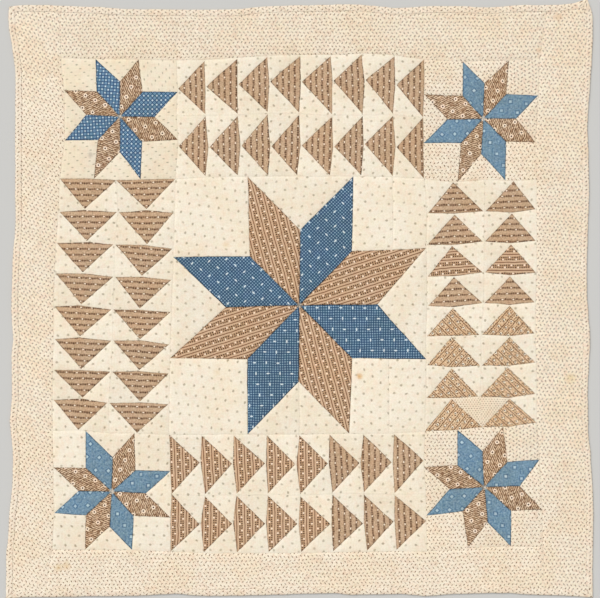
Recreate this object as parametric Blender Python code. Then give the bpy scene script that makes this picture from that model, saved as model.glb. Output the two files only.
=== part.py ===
"""Crib quilt laid flat: star blocks, strips of flying geese, plain border and narrow binding.

The tables are millimetres, read off the photo at 1.626 mm a pixel; the solids are metres.
+X is the quilt's right as it is looked at, +Y its top and +Z up from what it lies on.
The origin is the middle of the flat underside.
"""
import math

import bmesh
import bpy

for thing in list(bpy.data.objects):
    bpy.data.objects.remove(thing, do_unlink=True)

MM = 0.001
KEEP_BACK = 0.15      # every piece stops this short of a seam it shares, so 0.3 lies between two
NEAR = 3.0            # a point this close to one already on a seam is the same point
SEAM_Z = 2.0          # height of the quilt at a seam, where the stitches pull it down
ROLL = 2.2            # the cloth rolls up out of the seam over this width
SHOULDER = 6.0        # and is at its full height here
BINDING_WIDE = 10.5
BINDING_STEP = 31.0   # longest straight run of the edge
PUFF = {"goose": 1.3, "corner": 1.35, "diamond": 1.6, "ground": 1.75, "border": 1.5}

# The four bars of flying geese, in the order the geese fly round the quilt. Line 0 is the one the
# first goose points at; goose k stands on line k and its tip touches line k - 1.
# columns: outer end x, y,  tip of the outer goose,  middle,  tip of the inner goose,  inner end
BARS = {
    "top": [
        (-201, 387, -199, 341, -201, 297, -198, 247, -203, 194),
        (-155, 387, -153, 344, -154, 297, -148, 245, -154, 197),
        (-102, 391, -101, 348, -102, 298, -96, 248, -101, 197),
        (-53, 394, -49, 352, -53, 301, -47, 247, -52, 198),
        (0, 396, 2, 352, -1, 300, 2, 248, -5, 198),
        (50, 395, 54, 353, 52, 297, 55, 246, 48, 198),
        (100, 398, 106, 355, 102, 298, 105, 251, 100, 198),
        (154, 395, 156, 347, 151, 298, 157, 246, 151, 197),
        (202, 388, 203, 341, 200, 294, 201, 246, 202, 194),
    ],
    "right": [
        (385, 193, 347, 191, 300, 192, 249, 189, 202, 194),
        (385, 145, 345, 138, 300, 141, 251, 136, 207, 138),
        (385, 93, 343, 88, 299, 92, 247, 85, 205, 86),
        (385, 42, 342, 36, 299, 42, 251, 34, 206, 35),
        (383, -7, 341, -12, 299, -8, 249, -16, 207, -13),
        (383, -57, 341, -63, 294, -60, 247, -63, 205, -62),
        (385, -105, 338, -112, 295, -110, 247, -114, 205, -109),
        (385, -156, 341, -163, 292, -160, 246, -164, 205, -163),
        (385, -203, 343, -209, 297, -210, 247, -215, 203, -217),
    ],
    "bottom": [
        (207, -413, 206, -363, 205, -319, 202, -264, 203, -217),
        (157, -412, 153, -364, 154, -319, 150, -267, 153, -220),
        (109, -413, 103, -367, 104, -318, 98, -269, 104, -221),
        (54, -414, 50, -368, 53, -318, 46, -269, 48, -221),
        (2, -415, -3, -368, 1, -321, -7, -270, -1, -222),
        (-51, -415, -56, -367, -52, -320, -56, -269, -54, -222),
        (-102, -415, -110, -367, -103, -320, -110, -270, -108, -222),
        (-156, -415, -163, -368, -154, -321, -163, -268, -160, -222),
        (-211, -413, -211, -367, -209, -319, -211, -272, -213, -222),
    ],
    "left": [
        (-403, -216, -361, -215, -311, -220, -265, -220, -213, -222),
        (-403, -166, -354, -163, -312, -171, -260, -169, -213, -173),
        (-402, -117, -356, -116, -307, -120, -262, -118, -212, -123),
        (-401, -67, -358, -63, -305, -70, -260, -68, -211, -76),
        (-401, -14, -356, -11, -305, -19, -261, -18, -209, -23),
        (-399, 40, -354, 41, -302, 34, -257, 35, -207, 29),
        (-397, 89, -347, 92, -302, 87, -249, 87, -206, 80),
        (-393, 140, -350, 144, -296, 139, -250, 144, -204, 138),
        (-391, 194, -346, 194, -299, 192, -252, 193, -203, 194),
    ],
}

# The five eight-pointed stars: the centre, then clockwise from the point left of the top one
# row each: tip of the point x, y,  notch on the clockwise side of it x, y
STARS = {
    "centre": ((-1, -12), [
        (-85, 192, 0, 111), (87, 196, 85, 76), (204, 81, 126, -10), (202, -100, 85, -98),
        (80, -217, -2, -136), (-85, -218, -86, -100), (-207, -98, -121, -15), (-203, 67, -82, 68),
    ]),
    "top_left": ((-293, 295), [
        (-333, 389, -293, 352), (-263, 388, -256, 336), (-203, 336, -236, 295),
        (-203, 257, -257, 254), (-259, 197, -293, 237), (-335, 200, -329, 257),
        (-383, 256, -348, 298), (-384, 338, -331, 336),
    ]),
    "top_right": ((298, 292), [
        (265, 385, 300, 350), (340, 387, 336, 332), (388, 330, 352, 292), (383, 253, 335, 254),
        (334, 200, 295, 234), (256, 194, 262, 252), (207, 252, 240, 290), (210, 331, 264, 329),
    ]),
    "bottom_right": ((300, -308), [
        (256, -218, 297, -249), (331, -213, 337, -266), (390, -263, 358, -306),
        (394, -345, 344, -346), (343, -404, 305, -365), (273, -407, 265, -347),
        (207, -354, 243, -311), (204, -275, 256, -272),
    ]),
    "bottom_left": ((-306, -315), [
        (-349, -222, -305, -259), (-269, -222, -268, -280), (-216, -282, -251, -318),
        (-216, -357, -271, -355), (-273, -410, -310, -372), (-350, -409, -349, -354),
        (-400, -350, -361, -314), (-401, -275, -349, -276),
    ]),
}

# outer corners of the pieced field
FIELD = {"top_left": (-389, 391), "top_right": (390, 390),
         "bottom_right": (395, -405), "bottom_left": (-403, -409)}

# The wavy outer edge of the quilt, clockwise from the top left corner; each side starts where the
# one before it ends
# columns: x, y
EDGE = {
    "top": [(-473, 474), (-439, 477), (-384, 475), (-325, 473), (-280, 470), (-220, 470),
            (-163, 469), (-94, 470), (-76, 473), (-16, 476), (41, 476), (76, 478), (122, 475),
            (154, 472), (228, 475), (304, 473), (350, 476), (406, 476), (446, 480)],
    "right": [(467, 487), (475, 464), (477, 433), (474, 371), (470, 322), (468, 276), (470, 224),
              (470, 159), (468, 107), (467, 37), (469, -33), (472, -65), (469, -133), (469, -215),
              (472, -247), (475, -288), (477, -337), (477, -393), (476, -442)],
    "bottom": [(476, -487), (423, -484), (358, -482), (333, -480), (260, -481), (203, -485),
               (163, -481), (85, -483), (62, -480), (0, -482), (-122, -484), (-163, -484),
               (-203, -481), (-244, -483), (-309, -485), (-406, -486)],
    "left": [(-478, -488), (-478, -454), (-478, -413), (-475, -390), (-473, -350), (-468, -307),
             (-467, -280), (-467, -246), (-472, -200), (-468, -166), (-469, -93), (-466, -68),
             (-468, -47), (-470, -16), (-469, 13), (-467, 67), (-463, 119), (-463, 159),
             (-463, 241), (-463, 338), (-463, 374), (-466, 395), (-469, 416), (-473, 436),
             (-474, 455)],
}

# where the end seams of the top and bottom border meet the binding, by x
END_SEAMS = {"top_left": -392, "top_right": 401, "bottom_right": 398, "bottom_left": -414}

# lines of quilting that run across the border: where on the field's side, where at the binding
QUILTED = {
    "top": [(-236, -238), (-201, -198), (-171, -169), (-102, -102), (-33, -31), (2, 2), (44, 46),
            (100, 101), (202, 203), (298, 301)],
    "right": [(293, 295), (193, 193), (145, 148), (42, 46), (-57, -56), (-105, -98), (-132, -131),
              (-156, -153), (-203, -202), (-308, -310)],
    "bottom": [(-315, -316), (-276, -277), (-241, -242), (-211, -212), (-156, -160), (-51, -54),
               (2, 1), (54, 53), (157, 158), (265, 266), (309, 310), (341, 343)],
    "left": [(358, 357), (314, 314), (262, 261), (194, 196), (89, 91), (-14, -15), (-117, -118),
             (-216, -217), (-314, -316)],
}

# the pieces of cloth in the centre block that are sewn of two
JOINED = {"square_upper_right": 151, "square_lower_right": 145, "triangle_lower": -1}

COLOURS = {
    "border_print_cotton": (0.87, 0.75, 0.60), "light_print_cotton": (0.91, 0.82, 0.67),
    "goose_strip_cotton": (0.62, 0.46, 0.32), "star_block_cotton": (0.58, 0.52, 0.45),
    "blue_print_cotton": (0.05, 0.13, 0.29), "brown_print_cotton": (0.38, 0.24, 0.14),
    "binding_print_cotton": (0.84, 0.70, 0.55),
}
ROUND = ("top", "right", "bottom", "left")


def cut(edge, start, end, x):
    """The point at x on the straight seam between two points."""
    t = (x - start[0]) / (end[0] - start[0])
    return (x, start[1] + t * (end[1] - start[1]))


class Seam:
    """A long seam: points in order along one axis, shared by the pieces on both its sides."""

    def __init__(self, axis, points):
        self.axis = axis
        self.points = sorted(set(points), key=lambda p: p[axis])

    def add(self, p, bend=False):
        """Puts a point on the seam and returns it, moved onto the seam unless it bends it."""
        for q in self.points:
            if math.dist(p, q) < NEAR:
                return q
        p = p if bend else self.at(p[self.axis])
        self.points = sorted(self.points + [p], key=lambda q: q[self.axis])
        return p

    def at(self, where):
        """The point of the seam at this distance along its axis."""
        a = self.axis
        for q, r in zip(self.points, self.points[1:]):
            if q[a] <= where <= r[a]:
                t = (where - q[a]) / (r[a] - q[a])
                other = q[1 - a] + t * (r[1 - a] - q[1 - a])
                return (where, other) if a == 0 else (other, where)
        raise ValueError("off the seam")

    def mark(self, where):
        """Adds the point at this distance along the axis and returns it."""
        return self.add(self.at(where))

    def run(self, start, end):
        """The points from start to end, both included."""
        i, j = self.points.index(start), self.points.index(end)
        return self.points[i:j + 1] if i <= j else self.points[j:i + 1][::-1]


def closed(*runs):
    """Joins runs of points into one loop, anticlockwise as seen from above."""
    loop = []
    for points in runs:
        for p in points:
            if not loop or p != loop[-1]:
                loop.append(p)
    if loop[0] == loop[-1]:
        loop.pop()
    area = sum(a[0] * b[1] - b[0] * a[1] for a, b in zip(loop, loop[1:] + loop[:1]))
    return loop if area > 0 else loop[::-1]


def inset(loop, wide):
    """The loop moved in by an even width, mitred at its corners."""
    moved = []
    for i, b in enumerate(loop):
        a, c = loop[i - 1], loop[(i + 1) % len(loop)]
        d1, d2 = math.dist(a, b), math.dist(b, c)
        n1 = ((a[1] - b[1]) / d1, (b[0] - a[0]) / d1)
        n2 = ((b[1] - c[1]) / d2, (c[0] - b[0]) / d2)
        k = wide / (1 + n1[0] * n2[0] + n1[1] * n2[1])
        moved.append((b[0] + k * (n1[0] + n2[0]), b[1] + k * (n1[1] + n2[1])))
    return moved


def turn(loop, i):
    """How much the loop turns at a point, in degrees."""
    a, b, c = loop[i - 1], loop[i], loop[(i + 1) % len(loop)]
    way = math.atan2(c[1] - b[1], c[0] - b[0]) - math.atan2(b[1] - a[1], b[0] - a[0])
    return abs(math.degrees((way + math.pi) % (2 * math.pi) - math.pi))


def carried(loop):
    """The points of a loop that its raised rings keep: corners, and points well clear of one."""
    sharp = [i for i in range(len(loop)) if turn(loop, i) > 20]
    clear = SHOULDER / math.tan(math.radians(22.5)) + 4
    return [i for i in range(len(loop)) if i in sharp
            or all(math.dist(loop[i], loop[s]) > clear for s in sharp)]


# the seams of the field
rows = {bar: [[row[c:c + 2] for c in range(0, 10, 2)] for row in BARS[bar]] for bar in ROUND}
first = {bar: Seam(1 if bar in ("top", "bottom") else 0, rows[bar][0]) for bar in ROUND}
last = {bar: Seam(1 if bar in ("top", "bottom") else 0, rows[bar][8]) for bar in ROUND}
inner = {bar: Seam(0 if bar in ("top", "bottom") else 1, [r[4] for r in rows[bar]])
         for bar in ROUND}
ends = {"top": ("top_left", "top_right"), "right": ("top_right", "bottom_right"),
        "bottom": ("bottom_right", "bottom_left"), "left": ("bottom_left", "top_left")}
side = {bar: Seam(0 if bar in ("top", "bottom") else 1,
                  [r[0] for r in rows[bar]] + [FIELD[c] for c in ends[bar]]) for bar in ROUND}

# each star block: its seams and its corners, both clockwise from the top and the top left
BLOCKS = {
    "centre": ([inner[bar] for bar in ROUND],
               [rows["top"][0][4], rows["right"][0][4], rows["bottom"][0][4], rows["left"][0][4]]),
    "top_left": ([side["top"], first["top"], last["left"], side["left"]],
                 [FIELD["top_left"], rows["top"][0][0], rows["top"][0][4], rows["left"][8][0]]),
    "top_right": ([side["top"], side["right"], first["right"], last["top"]],
                  [rows["top"][8][0], FIELD["top_right"], rows["right"][0][0],
                   rows["right"][0][4]]),
    "bottom_right": ([last["right"], side["right"], side["bottom"], first["bottom"]],
                     [rows["right"][8][4], rows["right"][8][0], FIELD["bottom_right"],
                      rows["bottom"][0][0]]),
    "bottom_left": ([first["left"], last["bottom"], side["bottom"], side["left"]],
                    [rows["left"][0][0], rows["left"][0][4], rows["bottom"][8][0],
                     FIELD["bottom_left"]]),
}
outer_sides = list(side.values())
tips = {}
for block, (seams, corners) in BLOCKS.items():
    tips[block] = [seams[j // 2].add(row[:2], seams[j // 2] in outer_sides)
                   for j, row in enumerate(STARS[block][1])]


def smooth(points):
    """A run of table points with rounded in-between ones where they stand far apart."""
    run = []
    for i in range(len(points) - 1):
        p0, p1, p2, p3 = (points[max(0, min(len(points) - 1, j))] for j in range(i - 1, i + 3))
        n = math.ceil(math.dist(p1, p2) / BINDING_STEP)
        for s in range(n):
            t = s / n
            run.append(tuple(
                0.5 * (2 * b + (c - a) * t + (2 * a - 5 * b + 4 * c - d) * t * t
                       + (3 * b - a - 3 * c + d) * t ** 3)
                for a, b, c, d in zip(p0, p1, p2, p3)))
    return run


# the outer edge clockwise, the binding's inner edge beside it, and the number of each corner
outline, starts = [], []
for n, bar in enumerate(ROUND):
    starts.append(len(outline))
    outline += smooth(EDGE[bar] + EDGE[ROUND[(n + 1) % 4]][:1])
outline = outline[::-1]
starts = [len(outline) - 1 - s for s in starts]
bound = inset(outline, BINDING_WIDE)


def stretch(points, n):
    """One side's points of a closed edge, from its own corner to the next, clockwise."""
    i, j = starts[n], starts[(n + 1) % 4]
    return [points[k % len(points)] for k in range(i, (j if j < i else j - len(points)) - 1, -1)]


band = {bar: Seam(0 if bar in ("top", "bottom") else 1, stretch(bound, n))
        for n, bar in enumerate(ROUND)}
band_corner = {name: bound[starts[n]] for n, name in
               enumerate(("top_left", "top_right", "bottom_right", "bottom_left"))}
end_seam = {name: band["top" if "top" in name else "bottom"].mark(x)
            for name, x in END_SEAMS.items()}

middle = (0.5 * (min(p[0] for p in outline) + max(p[0] for p in outline)),
          0.5 * (min(p[1] for p in outline) + max(p[1] for p in outline)))


def star_patches(block):
    """The sixteen patches of a star block by name, each a loop."""
    seams, corners = BLOCKS[block]
    centre, notches = STARS[block][0], [row[2:] for row in STARS[block][1]]
    tip = tips[block]
    patches = {}
    for j in range(8):
        patches["diamond_%d" % (j + 1)] = closed([centre, notches[j - 1], tip[j], notches[j]])
    for s, where in enumerate(("upper", "right", "lower", "left")):
        patches["triangle_" + where] = closed(seams[s].run(tip[2 * s], tip[2 * s + 1]),
                                              [notches[2 * s]])
    for s, where in enumerate(("upper_right", "lower_right", "lower_left", "upper_left")):
        corner = corners[(s + 1) % 4]
        patches["square_" + where] = closed(seams[s].run(tip[2 * s + 1], corner),
                                            seams[(s + 1) % 4].run(corner, tip[(2 * s + 2) % 8]),
                                            [notches[2 * s + 1]])
    return patches


def joined_patches():
    """The centre block's patches, with the three that are sewn of two pieces as two each."""
    inner_foot = inner["bottom"].mark(JOINED["square_lower_right"])
    patches = star_patches("centre")
    notch = [row[2:] for row in STARS["centre"][1]]
    tip, corners = tips["centre"], BLOCKS["centre"][1]

    head = rows["top"][7][4]
    foot = cut(None, notch[1], tip[2], JOINED["square_upper_right"])
    patches["square_upper_right"] = closed(inner["top"].run(tip[1], head), [foot, notch[1]])
    patches["square_upper_right_end"] = closed(inner["top"].run(head, corners[1]),
                                               inner["right"].run(corners[1], tip[2]), [foot])
    head = cut(None, notch[3], tip[3], JOINED["square_lower_right"])
    patches["square_lower_right"] = closed([notch[3], head],
                                           inner["bottom"].run(inner_foot, tip[4]))
    patches["square_lower_right_end"] = closed([head], inner["right"].run(tip[3], corners[2]),
                                               inner["bottom"].run(corners[2], inner_foot))
    foot = rows["bottom"][4][4]
    patches["triangle_lower"] = closed(inner["bottom"].run(tip[4], foot), [notch[4]])
    patches["triangle_lower_end"] = closed(inner["bottom"].run(foot, tip[5]), [notch[4]])
    return patches


def goose_patches(bar, inner_strip):
    """Eight geese and their light side triangles, a loop each."""
    loops = []
    a, t, b = (2, 3, 4) if inner_strip else (0, 1, 2)
    edge = inner[bar] if inner_strip else side[bar]
    free = b if inner_strip else a
    for k in range(1, 9):
        here, there = rows[bar][k], rows[bar][k - 1]
        base = last[bar].run(here[a], here[b]) if k == 8 else [here[a], here[t], here[b]]
        loops.append(closed(base, [there[t]]))
        for end in (a, b):
            wing = [there[end], there[t]]
            if k == 1:
                wing = first[bar].run(there[end], there[t])
            along = edge.run(here[end], there[end]) if end == free else [here[end], there[end]]
            loops.append(closed(along, wing))
    return loops


def border_patches(bar):
    """A border strip cut into cells by the lines of quilting across it."""
    clockwise = bar in ("top", "left")
    cuts = sorted(QUILTED[bar])
    inside = [side[bar].mark(a) for a, _ in cuts]
    outside = [band[bar].mark(b) for _, b in cuts]
    low, high = ends[bar] if clockwise else ends[bar][::-1]
    loops = []
    if bar in ("top", "bottom"):
        start = closed([end_seam[low]], side[bar].run(FIELD[low], inside[0]),
                       band[bar].run(outside[0], end_seam[low]))
        stop = closed(side[bar].run(inside[-1], FIELD[high]),
                      band[bar].run(end_seam[high], outside[-1]))
    else:
        start = closed(band["bottom"].run(end_seam[low], band_corner[low]),
                       band[bar].run(band_corner[low], outside[0]),
                       side[bar].run(inside[0], FIELD[low]))
        stop = closed(band["top"].run(end_seam[high], band_corner[high]),
                      band[bar].run(band_corner[high], outside[-1]),
                      side[bar].run(inside[-1], FIELD[high]))
    loops.append(start)
    for k in range(len(cuts) - 1):
        loops.append(closed(side[bar].run(inside[k], inside[k + 1]),
                            band[bar].run(outside[k + 1], outside[k])))
    loops.append(stop)
    return loops


def outer_loop(loops):
    """The outline of a set of loops that share seams."""
    edges = {(loop[i - 1], loop[i]) for loop in loops for i in range(len(loop))}
    after = {a: b for a, b in edges if (b, a) not in edges}
    loop = [next(iter(after))]
    while after[loop[-1]] != loop[0]:
        loop.append(after[loop[-1]])
    assert len(loop) == len(after)
    return loop


def place(p, z):
    return ((p[0] - middle[0]) * MM, (p[1] - middle[1]) * MM, z * MM)


def finish(name, mesh, cloth):
    """A closed mesh as a named object of its own with its own material."""
    bmesh.ops.recalc_face_normals(mesh, faces=mesh.faces)
    bmesh.ops.triangulate(mesh, faces=[f for f in mesh.faces if len(f.verts) > 4],
                          ngon_method="BEAUTY")
    data = bpy.data.meshes.new(name)
    mesh.to_mesh(data)
    mesh.free()
    piece = bpy.data.objects.new(name, data)
    bpy.context.scene.collection.objects.link(piece)
    material = bpy.data.materials.new(name + "_" + cloth)
    material.use_nodes = True
    shader = material.node_tree.nodes["Principled BSDF"]
    shader.inputs["Base Color"].default_value = COLOURS[cloth] + (1.0,)
    shader.inputs["Roughness"].default_value = 0.9
    data.materials.append(material)
    return piece


def padded(name, loops, cloth, puff):
    """A flat-bottomed solid whose every patch swells up between its seams."""
    mesh = bmesh.new()
    edge = outer_loop(loops)
    kept = dict(zip(edge, inset(edge, KEEP_BACK)))
    rim, foot = {}, {}
    for loop in loops:
        for p in loop:
            if p not in rim:
                rim[p] = mesh.verts.new(place(kept.get(p, p), SEAM_Z))
                foot[p] = mesh.verts.new(place(kept.get(p, p), 0.0))
    for n, loop in enumerate(loops):
        swell = puff * (1 + 0.08 * math.sin(2.4 * n + len(name)))
        keep = carried(loop)
        corners = [kept.get(loop[i], loop[i]) for i in keep]
        low = [mesh.verts.new(place(p, SEAM_Z + 0.62 * swell)) for p in inset(corners, ROLL)]
        top = [mesh.verts.new(place(p, SEAM_Z + swell)) for p in inset(corners, SHOULDER)]
        for j in range(len(keep)):
            k = (j + 1) % len(keep)
            between = [rim[loop[(keep[j] + s) % len(loop)]]
                       for s in range((keep[k] - keep[j]) % len(loop) + 1)]
            half = len(between) // 2
            for s in range(len(between) - 1):
                pair = [between[s], between[s + 1]]
                if len(between) == 2:
                    mesh.faces.new(pair + [low[k], low[j]])
                elif s < half - 1 or (s == half - 1 and len(between) % 2):
                    mesh.faces.new(pair + [low[j]])
                elif s == half - 1:
                    mesh.faces.new(pair + [low[k], low[j]])
                else:
                    mesh.faces.new(pair + [low[k]])
            if len(between) > 2 and len(between) % 2:
                mesh.faces.new([between[half], low[k], low[j]])
            mesh.faces.new([low[j], low[k], top[k], top[j]])
        mesh.faces.new(top)
        mesh.faces.new([foot[p] for p in reversed(loop)])
    for i in range(len(edge)):
        a, b = edge[i - 1], edge[i]
        mesh.faces.new([foot[a], foot[b], rim[b], rim[a]])
    return finish(name, mesh, cloth)


def binding(bar, n):
    """One side's binding: folded cloth, round at the edge, mitred at both ends."""
    outer, inside = stretch(outline, n), stretch(bound, n)
    share = KEEP_BACK / BINDING_WIDE
    section = [(0.07, 0.0), (0.0, 0.7), (0.0, 1.9), (0.08, 2.7), (0.3, 3.15), (0.66, 3.1),
               (0.9, 2.6), (1 - share, 2.05), (1 - share, 0.0)]
    mesh = bmesh.new()
    ribs = []
    for i, (o, q) in enumerate(zip(outer, inside)):
        rib = []
        for f, z in section:
            p = (o[0] + f * (q[0] - o[0]), o[1] + f * (q[1] - o[1]))
            if i in (0, len(outer) - 1):
                j = 1 if i == 0 else i - 1
                mate = (outer[j][0] + f * (inside[j][0] - outer[j][0]),
                        outer[j][1] + f * (inside[j][1] - outer[j][1]))
                back = KEEP_BACK * 1.5 / math.dist(p, mate)
                p = (p[0] + back * (mate[0] - p[0]), p[1] + back * (mate[1] - p[1]))
            rib.append(mesh.verts.new(place(p, z)))
        ribs.append(rib)
    for a, b in zip(ribs, ribs[1:]):
        for s in range(len(section)):
            t = (s + 1) % len(section)
            mesh.faces.new([a[s], a[t], b[t], b[s]])
    mesh.faces.new(ribs[0])
    mesh.faces.new(ribs[-1][::-1])
    return finish("binding_" + bar, mesh, "binding_print_cotton")


# make every point that a seam is to carry before any patch is outlined
inner["bottom"].mark(JOINED["square_lower_right"])
for bar in ROUND:
    border_patches(bar)

for bar in ROUND:
    padded("border_" + bar, border_patches(bar), "border_print_cotton", PUFF["border"])
for n, bar in enumerate(ROUND):
    binding(bar, n)
for bar in ROUND:
    padded("geese_%s_outer" % bar, goose_patches(bar, False), "goose_strip_cotton", PUFF["goose"])
    padded("geese_%s_inner" % bar, goose_patches(bar, True), "goose_strip_cotton", PUFF["goose"])
for block in ("top_left", "top_right", "bottom_right", "bottom_left"):
    padded("star_block_" + block, list(star_patches(block).values()), "star_block_cotton",
           PUFF["corner"])
for patch, loop in joined_patches().items():
    if patch.startswith("diamond"):
        cloth = "blue_print_cotton" if int(patch[-1]) % 2 == 0 else "brown_print_cotton"
        padded("centre_" + patch, [loop], cloth, PUFF["diamond"])
    else:
        padded("centre_" + patch, [loop], "light_print_cotton", PUFF["ground"])

for thing in bpy.data.objects:
    print(thing.name, len(thing.data.polygons))
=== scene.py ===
# %% [markdown]
# # A pieced crib quilt, sewn again in Blender
#
# The quilt lies flat on a pale floor and is seen from straight above. Its panels come from a
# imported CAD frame, which has the right outline and thickness but plain faces. This notebook sews
# a finer top for each panel: patches that puff up between their seams, cottons with small prints,
# and a narrow binding round the edge.
#
# The panels are pads of cloth, so their surfaces are made in mesh code, point by point, where a
# modelling operator would only give a flat plate.

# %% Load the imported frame
import math
from functools import partialmethod

import bpy
import numpy as np
from mathutils.geometry import delaunay_2d_cdt
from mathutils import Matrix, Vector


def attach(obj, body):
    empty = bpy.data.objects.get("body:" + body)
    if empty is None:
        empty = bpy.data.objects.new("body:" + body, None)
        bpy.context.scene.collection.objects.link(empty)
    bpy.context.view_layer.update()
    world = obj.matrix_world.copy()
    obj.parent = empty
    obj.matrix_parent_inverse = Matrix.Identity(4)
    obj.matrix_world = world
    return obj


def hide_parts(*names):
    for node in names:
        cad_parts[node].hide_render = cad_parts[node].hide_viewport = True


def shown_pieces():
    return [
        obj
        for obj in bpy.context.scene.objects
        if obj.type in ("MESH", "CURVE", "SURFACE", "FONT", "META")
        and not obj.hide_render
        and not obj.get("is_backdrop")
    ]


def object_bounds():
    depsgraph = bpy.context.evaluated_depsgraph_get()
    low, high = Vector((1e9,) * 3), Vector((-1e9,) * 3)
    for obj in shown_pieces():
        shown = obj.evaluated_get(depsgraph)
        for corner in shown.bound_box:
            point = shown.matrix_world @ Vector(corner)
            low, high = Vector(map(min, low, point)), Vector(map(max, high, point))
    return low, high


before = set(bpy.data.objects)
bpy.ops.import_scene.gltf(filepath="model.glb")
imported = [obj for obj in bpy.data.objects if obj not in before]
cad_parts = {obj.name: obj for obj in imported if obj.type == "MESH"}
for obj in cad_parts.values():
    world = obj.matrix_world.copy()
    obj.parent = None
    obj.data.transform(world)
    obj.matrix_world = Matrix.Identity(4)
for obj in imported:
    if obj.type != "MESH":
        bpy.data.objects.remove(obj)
cad_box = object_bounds()
bpy.ops.object.select_all(action="DESELECT")
print("frame:", len(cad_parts), "panels,", [round(b - a, 4) for a, b in zip(*cad_box)], "m")

# %% [markdown]
# ## The seams, in millimetres
#
# Every patch of a quilt shares its edges with its neighbours, so the places where seams meet are
# written down once and each patch is a walk round some of them. The tables are a maker's
# measurements: the four bars of flying geese, the five stars, the wavy outer edge, and where the
# lines of quilting cross the border.

# %% Tables of the places where seams meet
MM = 0.001

# columns: outer end x, y,  tip of the outer goose,  middle,  tip of the inner goose,  inner end
BARS = {
    "top": [
        (-201, 387, -199, 341, -201, 297, -198, 247, -203, 194),
        (-155, 387, -153, 344, -154, 297, -148, 245, -154, 197),
        (-102, 391, -101, 348, -102, 298, -96, 248, -101, 197),
        (-53, 394, -49, 352, -53, 301, -47, 247, -52, 198),
        (0, 396, 2, 352, -1, 300, 2, 248, -5, 198),
        (50, 395, 54, 353, 52, 297, 55, 246, 48, 198),
        (100, 398, 106, 355, 102, 298, 105, 251, 100, 198),
        (154, 395, 156, 347, 151, 298, 157, 246, 151, 197),
        (202, 388, 203, 341, 200, 294, 201, 246, 202, 194),
    ],
    "right": [
        (385, 193, 347, 191, 300, 192, 249, 189, 202, 194),
        (385, 145, 345, 138, 300, 141, 251, 136, 207, 138),
        (385, 93, 343, 88, 299, 92, 247, 85, 205, 86),
        (385, 42, 342, 36, 299, 42, 251, 34, 206, 35),
        (383, -7, 341, -12, 299, -8, 249, -16, 207, -13),
        (383, -57, 341, -63, 294, -60, 247, -63, 205, -62),
        (385, -105, 338, -112, 295, -110, 247, -114, 205, -109),
        (385, -156, 341, -163, 292, -160, 246, -164, 205, -163),
        (385, -203, 343, -209, 297, -210, 247, -215, 203, -217),
    ],
    "bottom": [
        (207, -413, 206, -363, 205, -319, 202, -264, 203, -217),
        (157, -412, 153, -364, 154, -319, 150, -267, 153, -220),
        (109, -413, 103, -367, 104, -318, 98, -269, 104, -221),
        (54, -414, 50, -368, 53, -318, 46, -269, 48, -221),
        (2, -415, -3, -368, 1, -321, -7, -270, -1, -222),
        (-51, -415, -56, -367, -52, -320, -56, -269, -54, -222),
        (-102, -415, -110, -367, -103, -320, -110, -270, -108, -222),
        (-156, -415, -163, -368, -154, -321, -163, -268, -160, -222),
        (-211, -413, -211, -367, -209, -319, -211, -272, -213, -222),
    ],
    "left": [
        (-403, -216, -361, -215, -311, -220, -265, -220, -213, -222),
        (-403, -166, -354, -163, -312, -171, -260, -169, -213, -173),
        (-402, -117, -356, -116, -307, -120, -262, -118, -212, -123),
        (-401, -67, -358, -63, -305, -70, -260, -68, -211, -76),
        (-401, -14, -356, -11, -305, -19, -261, -18, -209, -23),
        (-399, 40, -354, 41, -302, 34, -257, 35, -207, 29),
        (-397, 89, -347, 92, -302, 87, -249, 87, -206, 80),
        (-393, 140, -350, 144, -296, 139, -250, 144, -204, 138),
        (-391, 194, -346, 194, -299, 192, -252, 193, -203, 194),
    ],
}

# centre of each star, then clockwise: tip of a point x, y,  notch on the clockwise side of it x, y
STARS = {
    "centre": ((-1, -12), [
        (-85, 192, 0, 111), (87, 196, 85, 76), (204, 81, 126, -10), (202, -100, 85, -98),
        (80, -217, -2, -136), (-85, -218, -86, -100), (-207, -98, -121, -15), (-203, 67, -82, 68),
    ]),
    "top_left": ((-293, 295), [
        (-333, 389, -293, 352), (-263, 388, -256, 336), (-203, 336, -236, 295),
        (-203, 257, -257, 254), (-259, 197, -293, 237), (-335, 200, -329, 257),
        (-383, 256, -348, 298), (-384, 338, -331, 336),
    ]),
    "top_right": ((298, 292), [
        (265, 385, 300, 350), (340, 387, 336, 332), (388, 330, 352, 292), (383, 253, 335, 254),
        (334, 200, 295, 234), (256, 194, 262, 252), (207, 252, 240, 290), (210, 331, 264, 329),
    ]),
    "bottom_right": ((300, -308), [
        (256, -218, 297, -249), (331, -213, 337, -266), (390, -263, 358, -306),
        (394, -345, 344, -346), (343, -404, 305, -365), (273, -407, 265, -347),
        (207, -354, 243, -311), (204, -275, 256, -272),
    ]),
    "bottom_left": ((-306, -315), [
        (-349, -222, -305, -259), (-269, -222, -268, -280), (-216, -282, -251, -318),
        (-216, -357, -271, -355), (-273, -410, -310, -372), (-350, -409, -349, -354),
        (-400, -350, -361, -314), (-401, -275, -349, -276),
    ]),
}

FIELD = {"top_left": (-389, 391), "top_right": (390, 390),
         "bottom_right": (395, -405), "bottom_left": (-403, -409)}

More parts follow.
